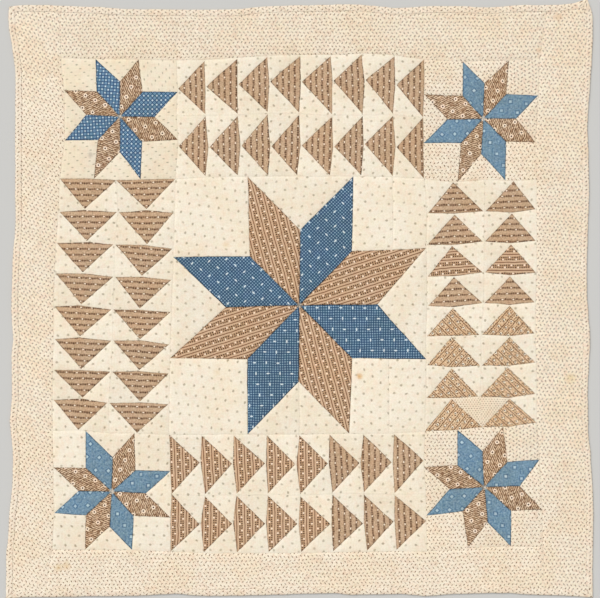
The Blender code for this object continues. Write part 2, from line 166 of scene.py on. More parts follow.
# the outer edge, clockwise from the top left corner: x, y
EDGE = {
    "top": [(-473, 474), (-439, 477), (-384, 475), (-325, 473), (-280, 470), (-220, 470),
            (-163, 469), (-94, 470), (-76, 473), (-16, 476), (41, 476), (76, 478), (122, 475),
            (154, 472), (228, 475), (304, 473), (350, 476), (406, 476), (446, 480)],
    "right": [(467, 487), (475, 464), (477, 433), (474, 371), (470, 322), (468, 276), (470, 224),
              (470, 159), (468, 107), (467, 37), (469, -33), (472, -65), (469, -133), (469, -215),
              (472, -247), (475, -288), (477, -337), (477, -393), (476, -442)],
    "bottom": [(476, -487), (423, -484), (358, -482), (333, -480), (260, -481), (203, -485),
               (163, -481), (85, -483), (62, -480), (0, -482), (-122, -484), (-163, -484),
               (-203, -481), (-244, -483), (-309, -485), (-406, -486)],
    "left": [(-478, -488), (-478, -454), (-478, -413), (-475, -390), (-473, -350), (-468, -307),
             (-467, -280), (-467, -246), (-472, -200), (-468, -166), (-469, -93), (-466, -68),
             (-468, -47), (-470, -16), (-469, 13), (-467, 67), (-463, 119), (-463, 159),
             (-463, 241), (-463, 338), (-463, 374), (-466, 395), (-469, 416), (-473, 436),
             (-474, 455)],
}

# where the border's own end seams meet the binding, by x
END_SEAMS = {"top_left": -392, "top_right": 401, "bottom_right": 398, "bottom_left": -414}

# quilting lines across the border: where they start at the field, where they end at the binding
QUILTED = {
    "top": [(-236, -238), (-201, -198), (-171, -169), (-102, -102), (-33, -31), (2, 2), (44, 46),
            (100, 101), (202, 203), (298, 301)],
    "right": [(293, 295), (193, 193), (145, 148), (42, 46), (-57, -56), (-105, -98), (-132, -131),
              (-156, -153), (-203, -202), (-308, -310)],
    "bottom": [(-315, -316), (-276, -277), (-241, -242), (-211, -212), (-156, -160), (-51, -54),
               (2, 1), (54, 53), (157, 158), (265, 266), (309, 310), (341, 343)],
    "left": [(358, 357), (314, 314), (262, 261), (194, 196), (89, 91), (-14, -15), (-117, -118),
             (-216, -217), (-314, -316)],
}

# where three of the centre's light pieces are sewn of two bits of cloth, by x
JOINED = {"square_upper_right": 151, "square_lower_right": 145}
ROUND = ("top", "right", "bottom", "left")
print("tables:", sum(len(rows) for rows in BARS.values()), "cross seams,", len(STARS), "stars")

# %% [markdown]
# A long seam carries the points of the patches on both its sides. `Seam` keeps them in order, so a
# patch asks for the run between two of them and gets every point on the way.

# %% Long seams and loops
NEAR = 3.0            # a point this close to one on the seam is the same point


def crossing(q, r, axis, where):
    """The point of a straight seam from q to r at this distance along an axis."""
    t = (where - q[axis]) / (r[axis] - q[axis])
    other = q[1 - axis] + t * (r[1 - axis] - q[1 - axis])
    return (where, other) if axis == 0 else (other, where)


class Seam:
    """A long seam: points in order along one axis, shared by the patches on both its sides."""

    def __init__(self, axis, points):
        self.axis = axis
        self.points = sorted(set(points), key=lambda p: p[axis])

    def add(self, p, bend=False):
        """Puts a point on the seam and returns it, moved onto the seam unless it bends it."""
        for q in self.points:
            if math.dist(p, q) < NEAR:
                return q
        p = p if bend else self.at(p[self.axis])
        self.points = sorted(self.points + [p], key=lambda q: q[self.axis])
        return p

    def at(self, where):
        """The point of the seam at this distance along its axis."""
        for q, r in zip(self.points, self.points[1:]):
            if q[self.axis] <= where <= r[self.axis]:
                return crossing(q, r, self.axis, where)
        raise ValueError("off the seam")

    def mark(self, where):
        """Adds the point at this distance along the axis and returns it."""
        return self.add(self.at(where))

    def run(self, start, end):
        """The points from start to end, both included."""
        i, j = self.points.index(start), self.points.index(end)
        return self.points[i:j + 1] if i <= j else self.points[j:i + 1][::-1]


def pairs_of(loop):
    """Each point of a loop with the next one."""
    return list(zip(loop, loop[1:] + loop[:1]))


def closed(*runs):
    """Joins runs of points into one loop, anticlockwise as seen from above."""
    loop = []
    for points in runs:
        for p in points:
            if not loop or p != loop[-1]:
                loop.append(p)
    if loop[0] == loop[-1]:
        loop.pop()
    return loop if sum(a[0] * b[1] - b[0] * a[1] for a, b in pairs_of(loop)) > 0 else loop[::-1]


def inset(loop, wide):
    """The loop moved in by an even width, mitred at its corners."""
    moved = []
    for i, b in enumerate(loop):
        a, c = loop[i - 1], loop[(i + 1) % len(loop)]
        d1, d2 = math.dist(a, b), math.dist(b, c)
        n1 = ((a[1] - b[1]) / d1, (b[0] - a[0]) / d1)
        n2 = ((b[1] - c[1]) / d2, (c[0] - b[0]) / d2)
        k = wide / (1 + n1[0] * n2[0] + n1[1] * n2[1])
        moved.append((b[0] + k * (n1[0] + n2[0]), b[1] + k * (n1[1] + n2[1])))
    return moved


def turn(loop, i):
    """How much the loop turns at a point, in degrees."""
    a, b, c = loop[i - 1], loop[i], loop[(i + 1) % len(loop)]
    way = math.atan2(c[1] - b[1], c[0] - b[0]) - math.atan2(b[1] - a[1], b[0] - a[0])
    return abs(math.degrees((way + math.pi) % (2 * math.pi) - math.pi))


def outer_loop(loops):
    """The outline of a set of loops that share seams."""
    edges = {pair for loop in loops for pair in pairs_of(loop)}
    after = {a: b for a, b in edges if (b, a) not in edges}
    loop = [min(after)]
    while after[loop[-1]] != loop[0]:
        loop.append(after[loop[-1]])
    return loop


# %% The seams of the field and of the star blocks
ALONG = {"top": 0, "right": 1, "bottom": 0, "left": 1}       # a bar runs along x, 0, or y, 1
CORNERS = ("top_left", "top_right", "bottom_right", "bottom_left")

rows = {bar: [[row[c:c + 2] for c in range(0, 10, 2)] for row in BARS[bar]] for bar in ROUND}
first = {bar: Seam(1 - ALONG[bar], rows[bar][0]) for bar in ROUND}
last = {bar: Seam(1 - ALONG[bar], rows[bar][-1]) for bar in ROUND}
inner = {bar: Seam(ALONG[bar], [row[-1] for row in rows[bar]]) for bar in ROUND}
ends = {bar: (CORNERS[n], CORNERS[(n + 1) % 4]) for n, bar in enumerate(ROUND)}
side = {bar: Seam(ALONG[bar], [row[0] for row in rows[bar]] + [FIELD[c] for c in ends[bar]])
        for bar in ROUND}

# a block's four seams, the upper one first, and its four corners, the upper left one first
BLOCKS = {"centre": ([inner[bar] for bar in ROUND], [rows[bar][0][-1] for bar in ROUND])}
for n, (name, bar) in enumerate(zip(CORNERS, ROUND)):
    before = ROUND[n - 1]
    seams = [side[bar], first[bar], last[before], side[before]]
    corners = [FIELD[name], rows[bar][0][0], rows[bar][0][-1], rows[before][-1][0]]
    BLOCKS[name] = (seams[-n:] + seams[:-n], corners[-n:] + corners[:-n])

tips = {block: [seams[j // 2].add(row[:2], seams[j // 2] in side.values())
                for j, row in enumerate(STARS[block][1])]
        for block, (seams, corners) in BLOCKS.items()}
inner_foot = inner["bottom"].mark(JOINED["square_lower_right"])
print("seams:", {bar: len(side[bar].points) for bar in ROUND}, "points along each side")

# %% The wavy edge and the binding's inner edge
BINDING_WIDE = 10.5
EDGE_STEP = 31.0      # longest straight run of the edge


def smooth(points):
    """A run of table points with rounded in-between ones where they stand far apart."""
    run = []
    for i in range(len(points) - 1):
        p0, p1, p2, p3 = (points[max(0, min(len(points) - 1, j))] for j in range(i - 1, i + 3))
        n = math.ceil(math.dist(p1, p2) / EDGE_STEP)
        for s in range(n):
            t = s / n
            run.append(tuple(
                0.5 * (2 * b + (c - a) * t + (2 * a - 5 * b + 4 * c - d) * t * t
                       + (3 * b - a - 3 * c + d) * t ** 3)
                for a, b, c, d in zip(p0, p1, p2, p3)))
    return run


outline, starts = [], []
for n, bar in enumerate(ROUND):
    starts.append(len(outline))
    outline += smooth(EDGE[bar] + EDGE[ROUND[(n + 1) % 4]][:1])
outline = outline[::-1]
starts = [len(outline) - 1 - s for s in starts]
bound = inset(outline, BINDING_WIDE)


def stretch(points, n):
    """One side's points of a closed edge, from its own corner to the next, clockwise."""
    i, j = starts[n], starts[(n + 1) % 4]
    return [points[k % len(points)] for k in range(i, (j if j < i else j - len(points)) - 1, -1)]


band = {bar: Seam(ALONG[bar], stretch(bound, n)) for n, bar in enumerate(ROUND)}
band_corner = {name: bound[starts[n]] for n, name in enumerate(CORNERS)}
end_seam = {name: band["top" if "top" in name else "bottom"].mark(x)
            for name, x in END_SEAMS.items()}
middle = np.array([0.5 * (min(values) + max(values)) for values in zip(*outline)])
print("outline:", len(outline), "points, middle at", middle.round(2), "mm")

# %% [markdown]
# ## The patches
#
# A star block has eight diamonds, four squares and four triangles. A strip of flying geese has a
# big triangle and two light wings for each goose. The border is cut into cells by the quilting.

# %% Loops for the patches


def star_patches(block):
    """The sixteen patches of a star block by name, each a loop."""
    seams, corners = BLOCKS[block]
    centre, tip = STARS[block][0], tips[block]
    notch = [row[2:] for row in STARS[block][1]]
    patches = {"diamond_%d" % (j + 1): closed([centre, notch[j - 1], tip[j], notch[j]])
               for j in range(8)}
    for s, where in enumerate(("upper", "right", "lower", "left")):
        patches["triangle_" + where] = closed(seams[s].run(tip[2 * s], tip[2 * s + 1]),
                                              [notch[2 * s]])
    for s, where in enumerate(("upper_right", "lower_right", "lower_left", "upper_left")):
        corner = corners[(s + 1) % 4]
        patches["square_" + where] = closed(seams[s].run(tip[2 * s + 1], corner),
                                            seams[(s + 1) % 4].run(corner, tip[(2 * s + 2) % 8]),
                                            [notch[2 * s + 1]])
    return patches


def centre_patches():
    """The centre block's patches, with the three that are sewn of two pieces as two each."""
    patches = star_patches("centre")
    notch = [row[2:] for row in STARS["centre"][1]]
    tip, corners = tips["centre"], BLOCKS["centre"][1]
    above, right, below = inner["top"], inner["right"], inner["bottom"]

    head = rows["top"][7][4]
    foot = crossing(notch[1], tip[2], 0, JOINED["square_upper_right"])
    patches["square_upper_right"] = closed(above.run(tip[1], head), [foot, notch[1]])
    patches["square_upper_right_end"] = closed(above.run(head, corners[1]),
                                               right.run(corners[1], tip[2]), [foot])
    head = crossing(notch[3], tip[3], 0, JOINED["square_lower_right"])
    patches["square_lower_right"] = closed([notch[3], head], below.run(inner_foot, tip[4]))
    patches["square_lower_right_end"] = closed([head], right.run(tip[3], corners[2]),
                                               below.run(corners[2], inner_foot))
    foot = rows["bottom"][4][4]
    patches["triangle_lower"] = closed(below.run(tip[4], foot), [notch[4]])
    patches["triangle_lower_end"] = closed(below.run(foot, tip[5]), [notch[4]])
    return patches


BLUNT = 1.8           # a goose's corners stop this short of where the seams meet,
TIP_BACK = 0.6        # its tip this short of the goose ahead,
BASE_UP = 1.1         # and its base lies this far ahead of the next goose's tip


def toward(p, q, far):
    """The point this far from p on the way to q."""
    t = far / math.dist(p, q)
    return (p[0] + t * (q[0] - p[0]), p[1] + t * (q[1] - p[1]))


def goose_patches(bar, inner_strip):
    """Each of the eight geese with its two wings: (goose, wing, wing, base of the goose)."""
    a, t, b = (2, 3, 4) if inner_strip else (0, 1, 2)
    edge, free = (inner[bar], b) if inner_strip else (side[bar], a)
    row = rows[bar]
    bases = [[toward(row[k][a], row[k][t], BLUNT), toward(row[k][t], row[k - 1][t], BASE_UP),
              toward(row[k][b], row[k][t], BLUNT)] for k in range(1, 8)]
    sets = []
    for k in range(1, 9):
        here, there = row[k], row[k - 1]
        base = last[bar].run(here[a], here[b]) if k == 8 else bases[k - 1]
        tip = toward(there[t], here[t], TIP_BACK)
        wings = []
        for end, corner in ((a, 0), (b, 2)):
            if k == 1:
                ahead = first[bar].run(there[end], there[t])
            else:
                ahead = [there[end], bases[k - 2][corner], bases[k - 2][1]]
            along = edge.run(here[end], there[end]) if end == free else [here[end], there[end]]
            wings.append(closed(along, ahead, [tip], [] if k == 8 else [bases[k - 1][corner]]))
        sets.append((closed(base, [tip]), *wings, (here[a], here[b])))
    return sets


def border_cells(bar):
    """A border strip cut into cells by the lines of quilting across it."""
    seam, trim = side[bar], band[bar]
    inside, outside = zip(*[(seam.mark(a), trim.mark(b)) for a, b in sorted(QUILTED[bar])])
    low, high = ends[bar] if bar in ("top", "left") else ends[bar][::-1]
    if ALONG[bar] == 0:
        start = closed([end_seam[low]], seam.run(FIELD[low], inside[0]),
                       trim.run(outside[0], end_seam[low]))
        stop = closed(seam.run(inside[-1], FIELD[high]), trim.run(end_seam[high], outside[-1]))
    else:
        start = closed(band["bottom"].run(end_seam[low], band_corner[low]),
                       trim.run(band_corner[low], outside[0]), seam.run(inside[0], FIELD[low]))
        stop = closed(band["top"].run(end_seam[high], band_corner[high]),
                      trim.run(band_corner[high], outside[-1]), seam.run(inside[-1], FIELD[high]))
    cells = [closed(seam.run(inside[k], inside[k + 1]), trim.run(outside[k + 1], outside[k]))
             for k in range(len(inside) - 1)]
    return [start] + cells + [stop]


# every seam gets all its points before any patch is sewn
print("border cells:", {bar: len(border_cells(bar)) for bar in ROUND})

# %% [markdown]
# ## Camera, floor and light
#
# The photograph looks straight down, so the camera does too, from well above with a long lens.
# One millimetre of table is one millimetre of quilt, and a pixel of the picture is 1.626 mm.

# %% Camera straight above
PIXEL = 1.626         # mm of quilt in one pixel of the photograph
WIDE, HIGH = 600, 598
MIDDLE_PIXEL = (300, 298)          # the pixel at the tables' zero
CAMERA_HEIGHT = 3.0
SENSOR = 36.0


def table_point(px, py):
    """A pixel of the photograph in the tables' millimetres."""
    return ((px - MIDDLE_PIXEL[0]) * PIXEL, (MIDDLE_PIXEL[1] - py) * PIXEL)


def added(name, data):
    """A new object of this data in the scene."""
    thing = bpy.data.objects.new(name, data)
    bpy.context.scene.collection.objects.link(thing)
    return thing


camera = added("camera", bpy.data.cameras.new("camera"))
camera.location = (*((table_point(WIDE / 2, HIGH / 2) - middle) * MM), CAMERA_HEIGHT)
camera.data.sensor_width = SENSOR
camera.data.lens = SENSOR * (CAMERA_HEIGHT - cad_box[1][2]) / (WIDE * PIXEL * MM)
camera.data.clip_end = 50
bpy.context.scene.camera = camera
print("camera at", [round(v, 4) for v in camera.location], "lens %.1f mm" % camera.data.lens)

# %% Pale floor and soft light
FLOOR_SIZE = 8.0
FLOOR_DROP = 0.0004   # a hair under the quilt, so the two never share a plane
DAYLIGHT = (1.0, 0.99, 0.97)
bpy.ops.mesh.primitive_plane_add(size=FLOOR_SIZE, location=(0, 0, -FLOOR_DROP))
floor = bpy.context.active_object
floor.name = "floor"
paper = bpy.data.materials.new("pale_floor")
paper.use_nodes = True
paper.node_tree.nodes["Principled BSDF"].inputs["Base Color"].default_value = (0.62, 0.62, 0.61, 1)
paper.node_tree.nodes["Principled BSDF"].inputs["Roughness"].default_value = 0.9
floor.data.materials.append(paper)
floor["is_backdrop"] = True

world = bpy.data.worlds.new("soft_room")
bpy.context.scene.world = world
world.use_nodes = True
world.node_tree.nodes["Background"].inputs["Color"].default_value = (*DAYLIGHT, 1)
world.node_tree.nodes["Background"].inputs["Strength"].default_value = 0.66

window = added("far_window", bpy.data.lights.new("far_window", "SUN"))
window.data.energy = 1.55
window.data.angle = math.radians(28)
window.data.color = DAYLIGHT
window.rotation_euler = (math.radians(-48), 0, math.radians(38))
bpy.context.scene.view_settings.view_transform = "Standard"
print("stage: floor, world and a far, wide lamp from the upper left")

# %% [markdown]
# ## Prints, drawn with a little algebra
#
# Each cotton has a small repeat: slanted specks, sprigs, rings, beaded stripes. They are drawn in
# the shader from the cloth's own coordinates, in millimetres. Typing every Math node by hand is
# slow to read, so `Wire` wraps a socket: adding or multiplying two wires makes the node for it.

# %% Wire: arithmetic that makes nodes


def node(tree, kind, inputs, output=0, **settings):
    """A new node's output as a wire, its inputs joined to wires or set to plain values."""
    new = tree.nodes.new("ShaderNode" + kind)
    for name, value in settings.items():
        setattr(new, name, value)
    for slot, value in inputs.items():
        if isinstance(value, Wire):
            tree.links.new(value.socket, new.inputs[slot])
        else:
            new.inputs[slot].default_value = value
    return Wire(tree, new.outputs[output])


class Wire:
    """A value in a node tree that can be added and multiplied like a number."""

    def __init__(self, tree, socket):
        self.tree, self.socket = tree, socket

    def beside(self, output):
        """Another output of the node that this value comes from."""
        return Wire(self.tree, self.socket.node.outputs[output])

    def do(self, operation, *others):
        """A Math node of this value and the others."""
        return node(self.tree, "Math", dict(enumerate((self, *others))), operation=operation)

    __add__, __sub__ = partialmethod(do, "ADD"), partialmethod(do, "SUBTRACT")
    __mul__, __truediv__ = partialmethod(do, "MULTIPLY"), partialmethod(do, "DIVIDE")
    size, root = partialmethod(do, "ABSOLUTE"), partialmethod(do, "SQRT")
    rest = partialmethod(do, "MULTIPLY_ADD", -1.0, 1.0)          # what is left of one

    def squared(self):
        return self * self

    def odd(self):
        """1 for an odd whole number and 0 for an even one."""
        return self.do("FLOORED_MODULO", 2.0).do("GREATER_THAN", 0.5)

    def wave(self):
        """A sine wave from 0 to 1."""
        return self.do("SINE") * 0.5 + 0.5

    def stray(self, noise, far):
        """This value moved by a noise of 0 to 1, up to half of far either way."""
        return self + (noise - 0.5) * far

    def near(self, full, gone):
        """1 up to full, then softly down to 0 at gone."""
        return node(self.tree, "MapRange", {"Value": self, "From Min": full, "From Max": gone,
                                            "To Min": 1.0, "To Max": 0.0}, "Result",
                    interpolation_type="SMOOTHSTEP")

    def around(self, value, full, gone):
        """1 close to a value, then softly down to 0 on both sides of it."""
        return (self - value).size().near(full, gone)


def joined(x, y, z=0.0):
    """A vector of two or three wires."""
    return node(x.tree, "CombineXYZ", {0: x, 1: y, 2: z})


def split(vector):
    """The x and y of a vector as wires."""
    x = node(vector.tree, "SeparateXYZ", {0: vector})
    return x, x.beside(1)


def scaled(vector, factor):
    """A vector or colour, so many times as long or as bright."""
    return node(vector.tree, "VectorMath", {0: vector, "Scale": factor}, operation="SCALE")


def chance(x, y, z=0.0):
    """A number from 0 to 1 that is drawn afresh for each pair of whole numbers."""
    return node(x.tree, "TexWhiteNoise", {"Vector": joined(x, y, z)}, "Value",
                noise_dimensions="3D")


def cloudy(x, y, size, detail=1.0, z=0.0):
    """Soft noise, about 0 to 1, whose clouds are about this many millimetres wide."""
    return node(x.tree, "TexNoise", {"Scale": 1.0 / size, "Detail": detail,
                                     "Vector": joined(x, y, z)}, "Fac")


def length(x, y):
    """How far a place is from zero."""
    return (x.squared() + y.squared()).root()


def turned(x, y, degrees):
    """The two coordinates seen from axes turned by an angle."""
    c, s = math.cos(math.radians(degrees)), math.sin(math.radians(degrees))
    return x * c + y * s, y * c - x * s


def ink(red, green, blue):
    """A colour as it looks on paper, 0 to 255, as the shader's own light values."""
    light = [c / 255 for c in (red, green, blue)]
    return [c / 12.92 if c < 0.04045 else ((c + 0.055) / 1.055) ** 2.4 for c in light] + [1.0]


def dyed(base, colour, amount, how="MIX"):
    """The base colour with another laid over it, as far as amount says."""
    return node(base.tree, "Mix", {"Factor": amount, 6: base, 7: ink(*colour)}, 2,
                data_type="RGBA", blend_type=how)


def nearest(x, apart):
    """How far x is from the nearest of some evenly spaced lines, and that line's whole number."""
    line = (x / apart).do("ROUND")
    return x - line * apart, line


def repeat(x, y, across, down, slip=0.0):
    """A print's repeat: place from the nearest motif's middle, and that motif's whole numbers.

    Motifs stand across millimetres apart in rows down millimetres apart, and each row slips
    sideways on the last."""
    v, row = nearest(y, down)
    u, column = nearest(x - row * slip, across)
    return u, v, column, row


def blob(x, y, half_long, half_wide, soft=0.35):
    """1 inside an ellipse, softly 0 outside."""
    return length(x / half_long, y / half_wide).near(1.0 - soft, 1.0 + soft)


print("print tools ready")

# %% [markdown]
# The prints themselves. Each takes the cloth's coordinates and its ground colour and gives back
# the printed colour. The sizes were measured on the quilt: the specks stand 6.5 mm apart in rows
# 5.7 mm apart, and so on.

# %% The light cottons: specks, sprigs, fine dots and dashes


def speck_print(x, y, ground):
    """Slanted specks in staggered rows, the slant changing from row to row."""
    y = y.stray(cloudy(x, y, 14.0, 1.0, 7.0), 5.0)
    u, v, column, row = repeat(x, y, 6.55, 5.68, 3.275)
    drawn = chance(column, row)
    lean = (row.odd() * 2.0 - 1.0) * (drawn * 0.35 + 0.6)
    u = u.stray(chance(column, row, 3.0), 0.9)
    v = v.stray(chance(column, row, 5.0), 1.8)
    a = u * 0.7 + v * lean
    b = v * 0.7 - u * lean
    base = dyed(ground, (255, 247, 230), cloudy(x, y, 2.2).near(0.4, 0.56) * 0.7)
    base = dyed(base, (230, 206, 184), cloudy(x, y, 3.2, z=8.0).near(0.36, 0.5) * 0.6)
    base = dyed(base, (255, 247, 230), blob(a, b, 2.7, 1.9, 0.3) * 0.3)
    return dyed(base, (122, 91, 64), blob(a, b, 1.85, 0.85, 0.5) * (drawn * 0.5 + 0.6))


def sprig_print(x, y, ground):
    """Small blurred sprigs, far apart."""
    u, v, column, row = repeat(x, y, 17.0, 15.3, 5.3)
    drawn = chance(column, row)
    u = u.stray(cloudy(x, y, 2.2), 1.6)
    v = v.stray(cloudy(x, y, 2.2, z=5.0), 1.6)
    mark = blob(u, v + u * (drawn - 0.5) * 0.6, 2.0, 1.75, 0.6) * (drawn * 0.3 + 0.5)
    base = dyed(ground, (255, 249, 236), cloudy(x, y, 3.0).near(0.4, 0.6) * 0.35)
    return dyed(base, (160, 148, 124), mark)


def fine_dot_print(x, y, ground):
    """Close rows of tiny dots."""
    u, v, column, row = repeat(x, y, 4.5, 3.4, 2.25)
    mark = blob(u, v, 1.15, 0.85, 0.5) * (chance(column, row) * 0.4 + 0.5)
    return dyed(ground, (156, 128, 98), mark)


def dash_print(x, y, ground):
    """Short dashes in close rows that slip sideways."""
    u, v, column, row = repeat(x, y, 20.6, 5.9, -6.3)
    mark = blob(u + v * 0.2, v - u * 0.14, 2.0, 1.05, 0.5) * (chance(column, row) * 0.5 + 0.45)
    return dyed(ground, (176, 170, 148), mark)


# %% The brown cottons: three striped ones and one with rings


def beaded_print(x, y, ground):
    """Stripes of dark beads with small white dots, 9.5 mm apart."""
    v, stripe = nearest(y.stray(cloudy(x, y, 9.0), 1.6), 9.5)
    u, bead = nearest(x + stripe * 1.7, 3.7)
    drawn = chance(bead, stripe)
    beads = blob(u, v.stray(drawn, 1.3), 1.4, 1.65, 0.4) * (drawn * 0.45 + 0.5)
    base = dyed(ground, (152, 122, 98), cloudy(x, y, 3.0).near(0.36, 0.5) * 0.45)
    base = dyed(base, (232, 204, 174), cloudy(x, y, 2.6, z=6.0).near(0.36, 0.48) * 0.4)
    base = dyed(base, (140, 106, 76), (v.size() + cloudy(x, y, 3.0) - 0.5).near(0.9, 2.5) * 0.55)
    base = dyed(base, (88, 60, 40), beads)
    u = nearest(x - stripe * 7.4, 17.5)[0]
    return dyed(base, (255, 236, 214), blob(u, v, 1.6, 1.0, 0.35))


def dotted_print(x, y, ground):
    """Broad bands of two rows of beads and white dots, a pinstripe between them."""
    v, stripe = nearest(y.stray(cloudy(x, y, 11.0), 0.9), 13.3)
    beads = (x * 1.75 + stripe * 1.3).stray(cloudy(x, y, 6.0), 4.0).wave().near(0.3, 0.6).rest()
    base = dyed(ground, (196, 160, 126), v.size().near(2.9, 3.7))
    base = dyed(base, (74, 48, 30), v.size().around(1.75, 0.8, 1.5) * beads)
    base = dyed(base, (128, 96, 70), cloudy(x, y, 2.4, 1.0, 5.0).near(0.36, 0.44) * 0.4)
    mid = (v.size() - 6.65).size()
    base = dyed(base, (216, 182, 150), mid.around(1.9, 0.3, 1.0) * 0.7)
    base = dyed(base, (132, 92, 62), mid.near(0.4, 1.2))
    u, place = nearest(x + stripe * 3.1, 10.6)
    return dyed(base, (255, 230, 206), blob(u, v + place.odd() * 3.4 - 1.7, 1.55, 1.55, 0.25))


VINE_SLOPE = 47       # degrees from the cloth's own edge
VINE_APART = 10.6


def vine_print(x, y, ground):
    """Slanting brown lines with small flowers between them, and dark specks all over."""
    u, v = turned(x, y, VINE_SLOPE)
    v = v.stray(cloudy(x, y, 8.0), 1.4)
    base = dyed(ground, (255, 236, 208), cloudy(x, y, 2.4, 1.0, 9.0).near(0.38, 0.46) * 0.6)
    p, q, column, row = repeat(u, v, 3.3, 3.53)
    p = p.stray(chance(column, row, 6.0), 1.2)
    q = q.stray(chance(column, row, 4.0), 1.2)
    base = dyed(base, (88, 56, 32), blob(p, q, 1.1, 0.85, 0.5) * chance(column, row).near(0.5, 0.9))
    base = dyed(base, (112, 75, 45), nearest(v, VINE_APART)[0].size().near(0.2, 1.0) * 0.95)
    lane = (v / VINE_APART).do("FLOOR")
    w = v - lane * VINE_APART - VINE_APART / 2
    u = nearest(u + lane * 6.0, 13.2)[0]
    far = length(u, w)
    petals = (w.do("ARCTAN2", u) * 3.0).wave()
    base = dyed(base, (110, 72, 42), far.around(3.2, 0.3, 1.0) * petals * 0.8)
    base = dyed(base, (255, 244, 224), far.near(1.5, 2.3))
    return dyed(base, (54, 30, 16), ((u - 0.6).squared() + w.squared()).near(0.5, 1.7))


def ring_print(x, y, ground):
    """White rings round a dark dot on a brown ground with fine slanting lines."""
    along, across = turned(x, y, 50)
    across = across.stray(cloudy(x, y, 7.0), 3.0)
    hatch = (across * 2.15).wave()
    broken = cloudy(along * 0.3, across, 1.6)
    base = dyed(ground, (80, 51, 32), hatch * (broken.near(0.5, 0.62) * 0.68 + 0.26))
    base = dyed(base, (248, 221, 190), hatch.rest() * broken.near(0.4, 0.54).rest() * 0.95)
    u, v, column, row = repeat(x + 6.0, y + 7.0, 5.3, 4.9, 2.4)
    some = chance(column, row).do("GREATER_THAN", 0.45)
    base = dyed(base, (98, 66, 44), blob(u, v, 0.95, 0.8, 0.4) * some)
    u, v, column, row = repeat(x, y, 17.8, 19.9, -4.1)
    far = length(u, v)
    base = dyed(base, (255, 234, 212), far.near(2.8, 3.7))
    return dyed(base, (64, 42, 28), far.near(1.0, 1.7))


# %% The blue cottons: little squares, pale flowers, and a fine check


def square_print(x, y, ground):
    """Rows of small pale squares, every other one brighter and the rest hollow."""
    u, v, column, row = repeat(x, y, 5.05, 5.05)
    wide = u.size().do("MAXIMUM", v.size())
    bright = (column + row).odd()
    tone = chance(column, row) * 0.3 + 0.7
    base = dyed(ground, (38, 70, 118), cloudy(x, y, 6.0).near(0.36, 0.52) * 0.45)
    base = dyed(base, (44, 106, 124), cloudy(x, y, 7.0, z=4.0).near(0.36, 0.5) * 0.35)
    base = dyed(base, (136, 174, 202), wide.near(1.5, 2.3) * (bright.rest() * 0.3 + 0.65) * tone)
    base = dyed(base, (58, 96, 140), wide.near(0.4, 1.2) * bright.rest() * 0.6)
    return dyed(base, (216, 232, 240), wide.near(0.6, 1.5) * bright * tone)


def flower_print(x, y, ground):
    """Pale four-cornered flowers on a mottled blue, with a smaller one between them."""
    base = dyed(ground, (150, 180, 204), cloudy(x, y, 2.6, 2.0).near(0.36, 0.54) * 0.6)
    base = dyed(base, (70, 110, 148), cloudy(x, y, 3.2, 2.0, 7.0).near(0.38, 0.5) * 0.6)
    u, v, column, row = repeat(x + 9.0, y + 8.0, 20.5, 20.9, 4.4)
    base = dyed(base, (170, 200, 216), blob(u, v, 1.3, 1.3, 0.4) * 0.5)
    u, v, column, row = repeat(x, y, 20.5, 20.9, 4.4)
    corners = u.size() + v.size()
    base = dyed(base, (128, 164, 192), corners.around(7.0, 0.4, 1.6) * 0.4)
    base = dyed(base, (52, 88, 124), corners.around(4.6, 0.4, 1.5) * 0.5)
    return dyed(base, (198, 221, 231), corners.near(2.0, 3.4) * (chance(column, row) * 0.4 + 0.5))


def check_print(x, y, ground):
    """A fine check with white dashes, alternately upright and level."""
    u, v, column, row = repeat(x, y, 3.95, 3.95)
    tone = chance(column, row) * 0.35 + 0.65
    base = dyed(ground, (60, 82, 132), cloudy(x, y, 14.0).near(0.36, 0.5) * 0.2)
    base = dyed(base, (44, 100, 122), cloudy(x, y, 14.0, z=9.0).near(0.36, 0.5) * 0.2)
    base = dyed(base, (150, 182, 204), blob(u, v, 1.22, 1.22, 0.45) * tone)
    u, v, column, row = repeat(x, y, 19.35, 17.4, -2.9)
    level = (column + row).odd()
    dashes = blob(u, v, 1.15, 2.6, 0.25) * level.rest() + blob(u, v, 2.6, 1.15, 0.25) * level
    return dyed(base, (218, 232, 240), dashes)


print("eleven prints ready")

# %% [markdown]
# ## What every cotton shares
#
# All the cottons are old and washed. Three effects are used by every one of them, so each is a
# node group, built once: the plain weave with its thick and thin threads, the yellowing and
# stains of age, and painted shade beside a seam, where the cloth dips out of the light, with a
# faint painted highlight just off the seam.

# %% Node groups for weave, age and painted seam shade
THREAD = 0.55         # mm from one thread to the next

# stains: pixel of the photograph x, y,  radius in mm,  colour,  strength
STAINS = [
    (359.5, 376.5, 5, (218, 166, 92), 0.85), (226, 245, 6, (228, 192, 140), 0.4),
    (217, 372, 6, (226, 196, 150), 0.35), (58, 568, 7, (222, 188, 134), 0.55),
    (66, 565.5, 7, (216, 178, 118), 0.5),
    (558, 17, 7, (222, 178, 136), 0.45), (539, 50, 6, (222, 178, 136), 0.45),
    (571, 378, 9, (226, 200, 140), 0.45), (90.5, 155, 5, (146, 136, 124), 0.5),
]


def new_group(name, inputs, outputs):
    """An empty shader group, its inputs as wires, and a function that joins its outputs."""
    group = bpy.data.node_groups.new(name, "ShaderNodeTree")
    for way, sockets in (("INPUT", inputs), ("OUTPUT", outputs)):
        for label, kind in sockets.items():
            group.interface.new_socket(label, in_out=way, socket_type="NodeSocket" + kind)
    taken, given = group.nodes.new("NodeGroupInput"), group.nodes.new("NodeGroupOutput")

    def give(label, wire):
        group.links.new(wire.socket, given.inputs[label])

    return group, {label: Wire(group, taken.outputs[label]) for label in inputs}, give


